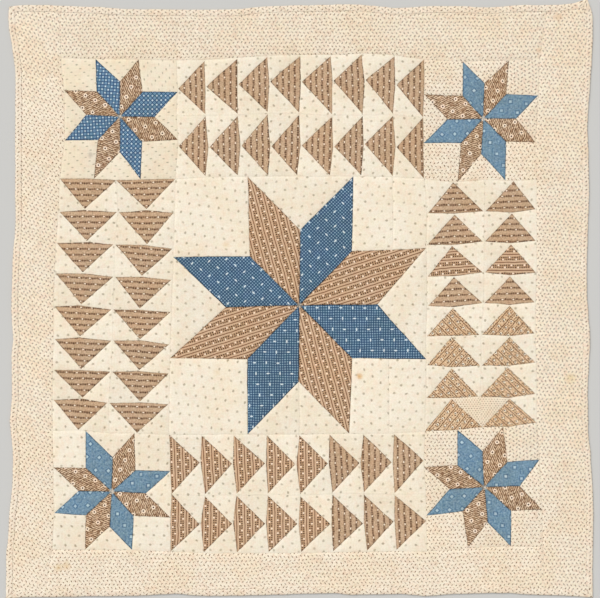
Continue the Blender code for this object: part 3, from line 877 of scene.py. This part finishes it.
def spot(x, y, centre, ragged, size):
    """Distance from a place of the tables, made ragged by clouds of this size."""
    px, py = centre - middle
    return length(x - float(px), y - float(py)).stray(cloudy(x, y, size), ragged)


weave, taken, give = new_group("cotton_weave", {"Place": "Vector"},
                               {"Height": "Float", "Slub": "Float"})
x, y = split(taken["Place"])
across, up = x * (math.pi / THREAD), y * (math.pi / THREAD)
over = across.do("COSINE") * up.do("COSINE") * 0.5 + 0.5
slub = cloudy(x * 0.08, y, 1.1) + cloudy(x, y * 0.08, 1.1, 1.0, 4.0) - 1.0
give("Height", across.do("SINE").size() * over + up.do("SINE").size() * over.rest() + slub * 0.9)
give("Slub", slub)

age, taken, give = new_group("washed_and_aged", {"Color": "Color", "Place": "Vector",
                                                 "Patch Tone": "Float", "Slub": "Float"},
                             {"Color": "Color"})
x, y = split(taken["Place"])
warm = cloudy(x, y, 70.0, 2.0).near(0.38, 0.6)
old = dyed(taken["Color"], (252, 242, 226), warm * 0.35, "MULTIPLY")
old = dyed(old, (255, 236, 232), cloudy(x, y, 9.0, 2.0, 6.0).near(0.36, 0.52) * 0.28, "MULTIPLY")
old = dyed(old, (240, 250, 226), cloudy(x, y, 8.0, 2.0, 11.0).near(0.36, 0.52) * 0.14, "MULTIPLY")
for px, py, radius, colour, strength in STAINS:
    far = spot(x, y, table_point(px, py), radius, 5.0)
    old = dyed(old, colour, far.near(0.0, 1.5 * radius) * strength)
# where a star's eight points meet the many layers have rubbed pale
for centre, _ in STARS.values():
    old = dyed(old, (248, 238, 222), spot(x, y, centre, 6.0, 2.4).near(1.4, 5.4) * 0.9)
lines = cloudy(x * 0.12, y, 2.4, 1.0, 20.0) + cloudy(x, y * 0.12, 2.4, 1.0, 24.0) - 1.0
bright = taken["Patch Tone"] * 0.025 + taken["Slub"] * 0.12 + lines * 0.08 + 1.0
bright = bright.stray(cloudy(x, y, 45.0, 2.0, 2.0), 0.08).stray(cloudy(x, y, 1.8, 1.0, 15.0), 0.16)
give("Color", scaled(old, bright))

seam, taken, give = new_group("painted_seam_shade_and_highlight", {"Color": "Color", "Place": "Vector",
                                                "Seam Gap": "Float", "Shade": "Float",
                                                "Lift": "Float"}, {"Color": "Color"})
# painted shade: within about 2 mm of a seam the colour is darkened, unevenly, as much as Shade says; a
# band about 2 mm off the seam is lightened by the painted highlight
gap = taken["Seam Gap"]
uneven = cloudy(*split(taken["Place"]), 4.5).near(0.38, 0.58) * 1.1 + 0.5
shade = gap.near(0.35, 2.1) * taken["Shade"] * uneven
give("Color", scaled(taken["Color"], gap.around(2.2, 0.4, 2.0) * taken["Lift"] - shade + 1.0))
print("groups:", [group.name for group in bpy.data.node_groups])

# %% [markdown]
# A cotton's material reads three things from its piece: the print's coordinates, which follow the
# grain of each patch, the distance to the nearest seam, which sets the painted seam shade, and a
# tone drawn for each patch, because no two patches were cut from quite the same place.

# %% The cottons
DARK = 0.1            # seams darken a dark cotton more than this
SHEEN = {"Sheen Weight": 0.12, "Sheen Roughness": 0.5, "Specular IOR Level": 0.25}


def noted(tree, name):
    """A value that the mesh carries under this name."""
    return node(tree, "Attribute", {}, "Fac", attribute_name=name)


def cotton(name, colour, draw=None, shade=0.03):
    """A washed cotton with a print, its weave, its age, and painted shade and highlight beside the
    seams.
    """
    material = bpy.data.materials.new(name)
    material.use_nodes = True
    tree = material.node_tree
    # a dark cotton gets a strong painted seam shade and no painted highlight, a light one a weak
    # painted shade and a faint painted highlight
    painted_highlight, drift = (0.0, 1.2) if shade > DARK else (0.02, 2.8)
    place = scaled(node(tree, "UVMap", {}, uv_map="print_place"), 1 / MM)
    solid = scaled(node(tree, "TexCoord", {}, "Object"), 1 / MM)
    slub = node(tree, "Group", {"Place": place}, "Slub", node_tree=weave)
    printed = node(tree, "RGB", {})
    printed.socket.default_value = ink(*colour)
    if draw:
        (x, y), (sx, sy) = split(place), split(solid)
        printed = draw(x.stray(cloudy(sx, sy, 30.0, z=1.0), drift),
                       y.stray(cloudy(sx, sy, 30.0, z=3.0), drift), printed)
    aged = node(tree, "Group", {"Color": printed, "Place": solid, "Slub": slub,
                                "Patch Tone": noted(tree, "patch_tone")}, node_tree=age)
    edged = node(tree, "Group", {"Color": aged, "Place": solid, "Shade": shade, "Lift": painted_highlight,
                                 "Seam Gap": noted(tree, "seam_gap")}, node_tree=seam)
    bump = node(tree, "Bump", {"Strength": 0.55, "Distance": 0.00012,
                               "Height": slub.beside("Height")})
    slots = tree.nodes["Principled BSDF"].inputs
    for slot, wire in (("Base Color", edged), ("Roughness", slub * 0.15 + 0.86), ("Normal", bump)):
        tree.links.new(wire.socket, slots[slot])
    for slot, value in SHEEN.items():
        slots[slot].default_value = value
    return material


# each cotton: its name, ground colour, print, and the strength of its painted seam shade
COTTONS = {
    "speck": cotton("speck_cotton", (246, 231, 208), speck_print),
    "edge": cotton("binding_cotton", (243, 227, 206), speck_print),
    "dots": cotton("fine_dot_cotton", (248, 234, 212), fine_dot_print),
    "sprig": cotton("sprig_cotton", (246, 235, 215), sprig_print),
    "dash": cotton("dash_cotton", (246, 234, 212), dash_print),
    "A": cotton("beaded_stripe_cotton", (204, 173, 142), beaded_print, 0.34),
    "B": cotton("dotted_stripe_cotton", (220, 189, 159), dotted_print, 0.34),
    "C": cotton("vine_stripe_cotton", (226, 191, 153), vine_print, 0.30),
    "ring": cotton("ring_cotton", (174, 137, 103), ring_print, 0.36),
    "squares": cotton("blue_square_cotton", (46, 78, 118), square_print, 0.5),
    "flowers": cotton("blue_flower_cotton", (116, 147, 168), flower_print, 0.5),
    "check": cotton("blue_check_cotton", (46, 79, 112), check_print, 0.55),
    "back": cotton("plain_back_cotton", (232, 222, 204)),
}
print("cottons:", sorted(COTTONS))

# %% [markdown]
# ## The quilted surface
#
# Between its seams the thin filling pushes the cotton up; at a seam the stitches pull it down and
# gather it into short creases that run out across the patch. A grid of points would have to be
# bent to fit each patch, so the patches are filled with an even net by constrained Delaunay
# triangulation instead: two rows of points follow the seams, where the cloth turns quickly, and
# the rest are spread evenly. Each point's height then follows from its distance to the seams.

# %% Heights
NET = 2.6             # mm between points on the face
UNDER_NET = 8.0       # and on the underside
ROW_STEP = 0.866      # the net's rows stand this share of its step apart
NET_STRAY = 0.15      # and its points stray by this share of it
BESIDE = (0.9, 2.4)   # rows of points this far from a seam
SLIVER = 1e-4         # mm2; a triangle this small is no cloth
CORNER = 25           # degrees; a loop that turns more than this has a corner there
PART = 0.02           # two panels stop this short of the seam between them
SEAM_LEVEL = 1.95     # height of the face at a seam
FURROW = 0.25         # the underside lifts this much along a seam
ROLL = 3.2            # the cloth has risen two thirds of its puff this far from a seam
QUILT_HOLD = 0.62     # along a line of quilting the cloth keeps this much of its puff
SHALLOW = 0.98        # a seam with no quilting in it lies this much higher than the others
DOME = 0.16           # part of the puff that comes on slowly, over the middle of a patch
DOME_REACH = 20.0
GATHER = 0.26         # depth of the creases beside a seam
GATHER_SIZE = 5.5
GATHER_START = 1.2
GATHER_REACH = 9.0
HILLS = 0.30          # slow unevenness of the filling
HILL_SIZE = 33.0
CRINKLE = 0.07        # washed-in crinkle all over
CRINKLE_SIZE = 8.0
# the painted seam shade also falls, fainter, along the lines of quilting
LINE_FAINT = 1.3      # a line of quilting darkens the cloth like a seam seen this far off
# seams and prints wander from a straight line: mm, size of the waves, seed
WANDERS = [(0.5, 34.0, 4), (0.32, 10.0, 10)]
# creases that show: pixel of the photograph from x, y to x, y,  half width in mm,  height in mm
CREASES = [(20, 28, 53, 45, 4.0, 0.8), (30, 50, 50, 68, 4.0, 0.7), (80, 30, 92, 45, 4.0, 0.6)]
# the seam inside the binding, and the one between the two strips of each bar of geese
UNQUILTED = [bound + bound[:1]] + [[row[2] for row in rows[bar]] for bar in ROUND]

hill_tables = {}


def hills(x, y, size, seed):
    """Soft noise between -1 and 1, the same wherever it is asked for."""
    if seed not in hill_tables:
        hill_tables[seed] = np.random.default_rng(seed).uniform(-1, 1, (256, 256))
    grid = hill_tables[seed]
    u, v = x / size + 1000, y / size + 1000
    i, j = np.floor(u).astype(int), np.floor(v).astype(int)
    s, t = u - i, v - j
    s, t = s * s * (3 - 2 * s), t * t * (3 - 2 * t)
    i, j, k, m = i % 256, j % 256, (i + 1) % 256, (j + 1) % 256
    low = grid[i, j] * (1 - s) + grid[k, j] * s
    high = grid[i, m] * (1 - s) + grid[k, m] * s
    return low * (1 - t) + high * t


def to_line(p, line):
    """Distance from each point to a run of seam, and how far along the run that place is."""
    best, along, start = np.full(len(p), 1e9), np.zeros(len(p)), 0.0
    for a, b in zip(line, line[1:]):
        a, d = np.array(a), np.array(b) - np.array(a)
        far = math.hypot(*d)
        t = np.clip((p - a) @ d / far ** 2, 0, 1)
        gap = np.hypot(*(p - a - t[:, None] * d).T)
        along = np.where(gap < best, start + t * far, along)
        best = np.minimum(gap, best)
        start += far
    return best, along


def seam_height(p):
    """Height of the face along the seams; it lies higher beside one that isn't quilted."""
    level = SEAM_LEVEL + 0.4 * HILLS * hills(*p.T, HILL_SIZE, 1)
    gap = np.min([to_line(p, line)[0] for line in UNQUILTED], axis=0)
    return level + SHALLOW * np.exp(-gap / ROLL)


def face_height(p, sewn, quilted, puff, seed):
    """Height of the face inside a patch, and its seam gap for the painted seam shade, lines of quilting
    counted as seams a little way off.
    """
    gaps, rise = [], np.zeros(len(p))
    for n, line in enumerate(sewn + quilted):
        gap, along = to_line(p, line)
        gaps.append(gap)
        crease = hills(along, 13.7 * seed + 5.1 * n, GATHER_SIZE, 2)
        rise += GATHER * crease * (1 - np.exp(-gap / GATHER_START)) * np.exp(-gap / GATHER_REACH)
    nothing = np.full(len(p), 1e9)
    gap = np.min([nothing] + gaps[:len(sewn)], axis=0)
    line_gap = np.min([nothing] + gaps[len(sewn):], axis=0)
    inside = 1 - np.exp(-gap / ROLL)
    swell = (1 - DOME) * inside + DOME * (1 - np.exp(-gap / DOME_REACH)) / 0.75
    rise += puff * swell * (1 - (1 - QUILT_HOLD) * np.exp(-line_gap / ROLL))
    rise += inside * (0.6 * HILLS * hills(*p.T, HILL_SIZE, 1)
                      + CRINKLE * hills(*p.T, CRINKLE_SIZE, 3))
    for x0, y0, x1, y1, wide, high in CREASES:
        far = to_line(p, [table_point(x0, y0), table_point(x1, y1)])[0]
        rise += inside * high * np.exp(-(far / wide) ** 2)
    return seam_height(p) + rise, np.minimum(gap, line_gap + LINE_FAINT)


# %% Filling a patch with points


def sides_of(loop):
    """The runs of seam between the corners of a patch."""
    corners = [i for i in range(len(loop)) if turn(loop, i) > CORNER] or [0]
    runs = []
    for n, i in enumerate(corners):
        count = (corners[(n + 1) % len(corners)] - i) % len(loop) or len(loop)
        runs.append([loop[(i + k) % len(loop)] for k in range(count + 1)])
    return runs


def within(p, ring):
    """Which points lie inside a closed run of seams."""
    odd = np.zeros(len(p), bool)
    for (ax, ay), (bx, by) in zip(ring, ring[1:]):
        spans = (ay > p[:, 1]) != (by > p[:, 1])
        x = ax + (p[:, 1] - ay) * (bx - ax) / (by - ay if by != ay else 1.0)
        odd ^= spans & (p[:, 0] < x)
    return odd


def inner_points(rim, loop, net):
    """Points inside a patch: rows beside its seams, and an even net between them."""
    way = np.roll(rim, -1, 0) - np.roll(rim, 1, 0)
    normal = np.stack([-way[:, 1], way[:, 0]], 1) / np.hypot(*way.T)[:, None]
    low, high = rim.min(0), rim.max(0)
    x, y = np.meshgrid(np.arange(low[0], high[0], net), np.arange(low[1], high[1], net * ROW_STEP))
    x = x + (np.arange(len(x)) % 2)[:, None] * net / 2
    even = np.stack([x.ravel(), y.ravel()], 1)
    even = even + NET_STRAY * net * np.stack([hills(*even.T, 3.0, 7), hills(*even.T, 3.0, 8)], 1)
    ring = loop + loop[:1]
    tried = [(rim + normal * far, 0.85 * far) for far in BESIDE]
    tried.append((even, BESIDE[-1] + 0.45 * net))
    return np.vstack([p[(to_line(p, ring)[0] > least) & within(p, ring)] for p, least in tried])


def netted(rim, inside):
    """Triangles over a rim and the points in it, as numbers into the two lists laid end to end."""
    xy = np.vstack([rim, inside])
    made = delaunay_2d_cdt([tuple(p) for p in xy], [], [list(range(len(rim)))], 1, 1e-5, True)
    source = np.array([origin[0] for origin in made[3]])
    faces = source[np.array(made[2])]
    a, b, c = xy[faces[:, 0]], xy[faces[:, 1]], xy[faces[:, 2]]
    area = 0.5 * ((b[:, 0] - a[:, 0]) * (c[:, 1] - a[:, 1]) - (c[:, 0] - a[:, 0]) * (b[:, 1] - a[:, 1]))
    # points in a straight row leave slivers of no area outside the rim, which are dropped
    return faces[(area > SLIVER) & within((a + b + c) / 3, np.vstack([rim, rim[:1]]))]


print("surface tools ready")

# %% [markdown]
# `sew` makes one closed piece of its patches. Patches that share a seam share its points, so the
# face is one cloth with a valley along the seam. The underside is made the same way with a coarser
# net, a wall closes the two round the outline, and every face knows its cotton.

# %% Sewing patches into a piece
HALVES = np.array([[0, 1, 2], [0, 2, 3]])         # a four-sided face as two triangles


class Piece:
    """The points and faces of a piece while it is sewn."""

    def __init__(self):
        self.points, self.faces, self.count = [], [], 0

    def add_points(self, xy, z, gap):
        """Adds points, each with its seam gap, and returns their numbers."""
        self.points.append(np.column_stack([xy, *(np.broadcast_to(v, len(xy)) for v in (z, gap))]))
        self.count += len(xy)
        return np.arange(self.count - len(xy), self.count)

    def add_faces(self, faces, maps, cloth, tone):
        """Adds triangles with the print's place at each of their corners."""
        self.faces.append((faces, maps, [cloth] * len(faces), [tone] * len(faces)))

    def add_quad(self, corners, places, cloth, tone):
        """Adds a four-sided face with the print's place at each corner."""
        self.add_faces(np.array(corners)[HALVES], np.array(places, float)[HALVES], cloth, tone)


def between(known, p, q):
    """The numbers of the points on a seam from p to q, without its ends."""
    return known[p, q] if p < q else known[q, p][::-1]


def rim_numbers(piece, known, loop, kept, level):
    """The numbers of the points round a patch, made where no neighbour has made them."""
    numbers = []
    for p, q in pairs_of(loop):
        for corner in (p, q):
            if corner not in known:
                xy = np.array([kept.get(corner, corner)])
                known[corner], = piece.add_points(xy, *level(xy))
        a, b = min(p, q), max(p, q)
        if (a, b) not in known:
            start, end = np.array(kept.get(a, a)), np.array(kept.get(b, b))
            count = max(1, round(math.dist(a, b) / NET))
            xy = start + (np.arange(1, count) / count)[:, None] * (end - start)
            known[a, b] = piece.add_points(xy, *level(xy)) if count > 1 else np.array([], int)
        numbers += [known[p], *between(known, p, q)]
    return np.array(numbers)


def print_place(xy, grain, start, slant):
    """Where a point lies on the uncut cloth, in mm: along the grain and across it.

    A cloth pulled out of square has a slant: its rows slide this far for each mm along them."""
    c, s = math.cos(math.radians(grain)), math.sin(math.radians(grain))
    moved = xy - start
    along = moved[..., 0] * c + moved[..., 1] * s
    return np.stack([along, moved[..., 1] * c - moved[..., 0] * s + slant * along], -1)


def wander(xy):
    """Points moved a little, the same way for every piece, so nothing is ruler-straight."""
    x, y = xy.T
    for amount, size, seed in WANDERS:
        xy = xy + amount * np.stack([hills(x, y, size, seed), hills(x, y, size, seed + 1)], 1)
    return xy


def finish_piece(name, piece, node_name, slot_name):
    """Makes the mesh, gives it its cottons, puts it under the root and hides its CAD panel."""
    points = np.vstack(piece.points)
    faces, maps, cloths, tones = (np.concatenate(parts) for parts in zip(*piece.faces))
    mesh = bpy.data.meshes.new(name)
    mesh.from_pydata(np.column_stack([wander(points[:, :2]) - middle, points[:, 2]]) * MM, [], faces)
    used, numbers = np.unique(cloths, return_inverse=True)
    for cloth in used:
        mesh.materials.append(COTTONS[cloth])
    mesh.polygons.foreach_set("material_index", numbers)
    layer = mesh.uv_layers.new(name="print_place")
    layer.data.foreach_set("uv", (maps.reshape(-1) * MM).astype(np.float32))
    for label, domain, values in (("seam_gap", "POINT", points[:, 3]), ("patch_tone", "FACE", tones)):
        held = mesh.attributes.new(label, "FLOAT", domain)
        held.data.foreach_set("value", values.astype(np.float32))
    mesh.shade_smooth()
    made = added(name, mesh)
    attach(made, "root")
    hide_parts(node_name)
    print(name, len(mesh.polygons), "triangles")
    return made


def sharpen(mesh, pairs):
    """Keeps the fold between face and wall crisp along these pairs of points."""
    ends_of = np.zeros(len(mesh.edges) * 2, int)
    mesh.edges.foreach_get("vertices", ends_of)
    count = len(mesh.vertices)
    keys = [np.sort(rows_of_two, 1) @ (count, 1) for rows_of_two in (ends_of.reshape(-1, 2), pairs)]
    mesh.attributes.new("sharp_edge", "BOOLEAN", "EDGE").data.foreach_set("value", np.isin(*keys))


def sew(name, patches, slot_name, one_cloth=False, slant=0.0):
    """One piece from patches of (loop, cotton, grain, puff), closed and laid on its CAD panel.

    A piece of one cloth has only quilting between its patches."""
    piece = Piece()
    edge = outer_loop([patch[0] for patch in patches])
    edge_pairs = pairs_of(edge)
    kept = dict(zip(edge, inset(edge, PART)))
    top, foot = {}, {}
    draw = np.random.default_rng(len(name) * 131 + ord(name[-1]))
    one_tone = draw.uniform(-1, 1)

    def rim_level(xy):
        """Height and seam gap of points on the seams and lines of quilting."""
        if not one_cloth:
            return seam_height(xy), 0.0
        gap = to_line(xy, edge + edge[:1])[0]
        held = QUILT_HOLD * PUFF["border"] * (1 - np.exp(-gap / ROLL))
        return seam_height(xy) + held, np.minimum(gap, LINE_FAINT)

    def cover(known, level, net, height, place, cloth, tone, way):
        """Covers the patch at hand with triangles, on the face or on the underside."""
        numbers = rim_numbers(piece, known, loop, kept, level)
        rim = np.vstack(piece.points)[numbers][:, :2]
        inside = inner_points(rim, ring, net)
        numbers = np.concatenate([numbers, piece.add_points(inside, *height(inside))])
        faces = netted(rim, inside)[:, ::way]
        piece.add_faces(numbers[faces], place(np.vstack([rim, inside])[faces]), cloth, tone)

    def under_height(xy):
        """Height and seam gap of points on the underside."""
        gap = to_line(xy, ring + ring[:1])[0]
        return FURROW * np.exp(-gap / ROLL), gap

    for loop, cloth, grain, puff in patches:
        tone, start = draw.uniform(-1, 1), draw.uniform(-400, 400, 2)
        if one_cloth:
            tone, start = one_tone, np.zeros(2)
        sewn, quilted = [], []
        for run in sides_of(loop):
            on_seam = not one_cloth or (run[0], run[1]) in edge_pairs
            (sewn if on_seam else quilted).append([kept.get(p, p) for p in run])
        ring = [kept.get(p, p) for p in loop]
        puff, seed = puff * draw.uniform(0.94, 1.06), draw.uniform(0, 60)
        cover(top, rim_level, NET, lambda xy: face_height(xy, sewn, quilted, puff, seed),
              lambda xy: print_place(xy, grain, start, slant), cloth, tone, 1)
        cover(foot, lambda xy: (FURROW, 0.0), UNDER_NET, under_height, lambda xy: xy, "back", 0.0, -1)

    crisp = []
    cloth_of = {pair: cloth for loop, cloth, *_ in patches for pair in pairs_of(loop)}
    for p, q in edge_pairs:
        above, below = ([known[p], *between(known, p, q), known[q]] for known in (top, foot))
        for i in range(len(above) - 1):
            piece.add_quad((below[i], below[i + 1], above[i + 1], above[i]), [(i * NET, 0)] * 4,
                           cloth_of[p, q], 0.0)
            crisp += [(above[i], above[i + 1]), (below[i], below[i + 1])]
    sharpen(finish_piece(name + "_quilted", piece, name, slot_name).data, np.array(crisp))


print("ready to sew")

# %% [markdown]
# ## Which cotton goes where
#
# The corner stars are blue and brown by turns, with the blue of the top left one a small square
# print. The centre star has striped browns, turned to run about along each diamond, and a checked
# blue. The geese of one bar are not all cut from one cloth.

# %% Border
PUFF = {"goose": 1.1, "corner": 1.1, "diamond": 1.35, "ground": 1.45, "border": 1.3}
BORDER_GRAIN = {"top": 0, "right": -3, "bottom": 1, "left": 0}
LEFT_SLANT = 0.366    # the left border's cloth was cut out of square

for bar in ROUND:
    cells = [(loop, "speck", BORDER_GRAIN[bar], PUFF["border"]) for loop in border_cells(bar)]
    sew("border_" + bar, cells, "border_print_cotton", True, LEFT_SLANT if bar == "left" else 0.0)

# %% Flying geese
# the cottons of geese 1 to 8, in the order they fly
GEESE = {"top": "AAAAAAAA", "right": "AABACCCC", "bottom": "AAABBBBB", "left": "AAAAAAAA"}
WING_GRAINS = (0, 90, 38, 0, -52, 90, 4)
# the slope of the vine stripe on geese 5 to 8: 1 up to the right, -1 down to the right
VINE_WAY = {"outer": (1, -1, -1, -1), "inner": (-1, 1, -1, 1)}
# wings cut from the finely dotted cotton: bar, strip, goose, wing
DOTTED_WINGS = (("right", "outer", 8, 2), ("right", "inner", 8, 1))

for bar in ROUND:
    for strip in ("outer", "inner"):
        patches = []
        for k, (goose, *wings, ((ax, ay), (bx, by))) in enumerate(goose_patches(bar, strip == "inner")):
            grain = math.degrees(math.atan2(by - ay, bx - ax))
            if GEESE[bar][k] == "C" and VINE_WAY[strip][k - 4] < 0:
                grain -= 2 * VINE_SLOPE
            patches.append((goose, GEESE[bar][k], grain, PUFF["goose"]))
            for n, loop in enumerate(wings):
                dotted = (bar, strip, k + 1, n + 1) in DOTTED_WINGS
                grain = 0 if dotted else WING_GRAINS[(3 * k + n + len(bar)) % len(WING_GRAINS)]
                patches.append((loop, "dots" if dotted else "sprig", grain, PUFF["goose"]))
        sew("geese_%s_%s" % (bar, strip), patches, "goose_strip_cotton")

# %% Corner stars
GROUNDS = {"top_left": ("dash", "squares"), "top_right": ("speck", "flowers"),
           "bottom_right": ("speck", "flowers"), "bottom_left": ("sprig", "flowers")}
# grain of a corner star's eight diamonds, clockwise from the one left of the top
STAR_GRAIN = (-4, 64, 45, 20, 42, 110, 3, 155)

for block, (light, blue) in GROUNDS.items():
    patches = []
    for name, loop in star_patches(block).items():
        cloth, grain = light, 90 if name == "square_upper_right" else 0
        if name.startswith("diamond"):
            k = int(name[-1])
            cloth, grain = blue if k % 2 else "ring", STAR_GRAIN[k - 1]
        patches.append((loop, cloth, grain, PUFF["corner"]))
    sew("star_block_" + block, patches, "star_block_cotton")

# %% Centre star
# grain of the eight diamonds, clockwise from the one left of the top
DIAMOND_GRAIN = (-75, 45, 18, 0, -75, 0, 18, 45)
GROUND_GRAIN = {
    "square_upper_right": 47, "square_upper_right_end": -10, "square_lower_right": -39,
    "square_lower_right_end": 50, "square_lower_left": -79, "square_upper_left": -80,
    "triangle_upper": 9, "triangle_right": 2, "triangle_lower": 0, "triangle_lower_end": 88,
    "triangle_left": -36,
}

for name, loop in centre_patches().items():
    if name in GROUND_GRAIN:
        slot_name, patch = "light_print_cotton", (loop, "sprig", GROUND_GRAIN[name], PUFF["ground"])
    else:
        k = int(name[-1])
        cloth, slot_name = ("B", "brown_print_cotton") if k % 2 else ("check", "blue_print_cotton")
        patch = (loop, cloth, DIAMOND_GRAIN[k - 1], PUFF["diamond"])
    sew("centre_" + name, [patch], slot_name)

# %% [markdown]
# ## The binding
#
# A narrow strip is folded over the edge and stitched down. Its section is a soft roll, carried
# along the wavy edge station by station, a little uneven, with a dimple at each stitch.

# %% Binding
STATION = 2.8         # mm between sections along the binding
STITCH = 4.6          # mm from one stitch to the next
STITCH_DEPTH = 0.1
STITCH_LINE = 0.9     # share of the width at which the stitches run
SWELL = 0.35          # mm that the edge comes and goes along its length
# share of the width from the outer edge inwards, height in mm
SECTION = [(1.0, 0.12), (0.7, 0.0), (0.35, 0.0), (0.1, 0.08), (0.01, 0.5), (-0.02, 1.2),
           (0.0, 1.8), (0.05, 2.35), (0.14, 2.7), (0.3, 2.95), (0.5, 3.05), (0.7, 3.03),
           (0.86, 2.98), (1.0, 2.92)]


def run_length(x, y):
    """How far along a run of points each of them is."""
    return np.concatenate([[0], np.cumsum(np.hypot(np.diff(x), np.diff(y)))])


def binding(bar, n):
    """One side's binding as a closed roll, mitred at both ends."""
    ways = np.stack([stretch(outline, n), stretch(bound, n)], 1)
    stations = []
    for a, b in zip(ways, ways[1:]):
        count = max(1, round(math.dist(a[0], b[0]) / STATION))
        stations += [a + s / count * (b - a) for s in range(count)]
    stations = np.array(stations + [ways[-1]])
    along = run_length(*stations[:, 1].T)
    share, level = np.array(SECTION).T
    share = np.where(share > 0.99, 1 - PART / BINDING_WIDE, share)
    fat = 1 + 0.10 * hills(along, 0.0, 14.0, 9) + 0.05 * hills(along, 40.0, 5.0, 9)
    stitched = (0.5 + 0.5 * np.cos(along * 2 * math.pi / STITCH)) ** 3
    dimple = np.exp(-((share - STITCH_LINE) / 0.07) ** 2) * (level > 1)
    z = level * np.where(level > 0.6, fat[:, None], 1.0) - STITCH_DEPTH * stitched[:, None] * dimple
    out = stations[:, 0] - stations[:, 1]
    bulge = SWELL * hills(along, 80.0, 17.0, 9)[:, None] * (share < 0.3)
    xy = (stations[:, :1] - share[:, None] * out[:, None]
          + bulge[..., None] * (out / np.hypot(*out.T)[:, None])[:, None])

    piece = Piece()
    # the seam gap for the painted seam shade: 1.2 mm at the binding's inner edge, growing toward the
    # fold
    width = 1.2 + np.abs(share - 1.0) * BINDING_WIDE
    numbers = piece.add_points(xy.reshape(-1, 2), z.reshape(-1), np.tile(width, len(xy)))
    numbers = numbers.reshape(len(xy), len(SECTION))
    over = run_length(share * BINDING_WIDE, level)
    tone = 0.2 * n
    for i in range(len(xy) - 1):
        for j in range(len(SECTION)):
            k = (j + 1) % len(SECTION)
            start, end = over[j], over[k] if k else over[j] + 2.0
            places = [(along[i], start), (along[i], end), (along[i + 1], end), (along[i + 1], start)]
            if ALONG[bar] == 0:
                places = [(v, u) for u, v in places]
            piece.add_quad((numbers[i, j], numbers[i, k], numbers[i + 1, k], numbers[i + 1, j]),
                           places, "edge", tone)
    for cap, way in ((numbers[0], 1), (numbers[-1], -1)):
        fan = np.array([[cap[0], cap[i + 1], cap[i]][::way] for i in range(1, len(SECTION) - 1)])
        piece.add_faces(fan, np.zeros((len(fan), 3, 2)), "edge", tone)
    finish_piece("binding_%s_rolled" % bar, piece, "binding_" + bar, "binding_print_cotton")


for n, bar in enumerate(ROUND):
    binding(bar, n)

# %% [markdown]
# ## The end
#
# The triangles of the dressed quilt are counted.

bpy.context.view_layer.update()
total = sum(len(thing.data.polygons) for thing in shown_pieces() if thing.type == "MESH")
print("dressed quilt:", total, "triangles")
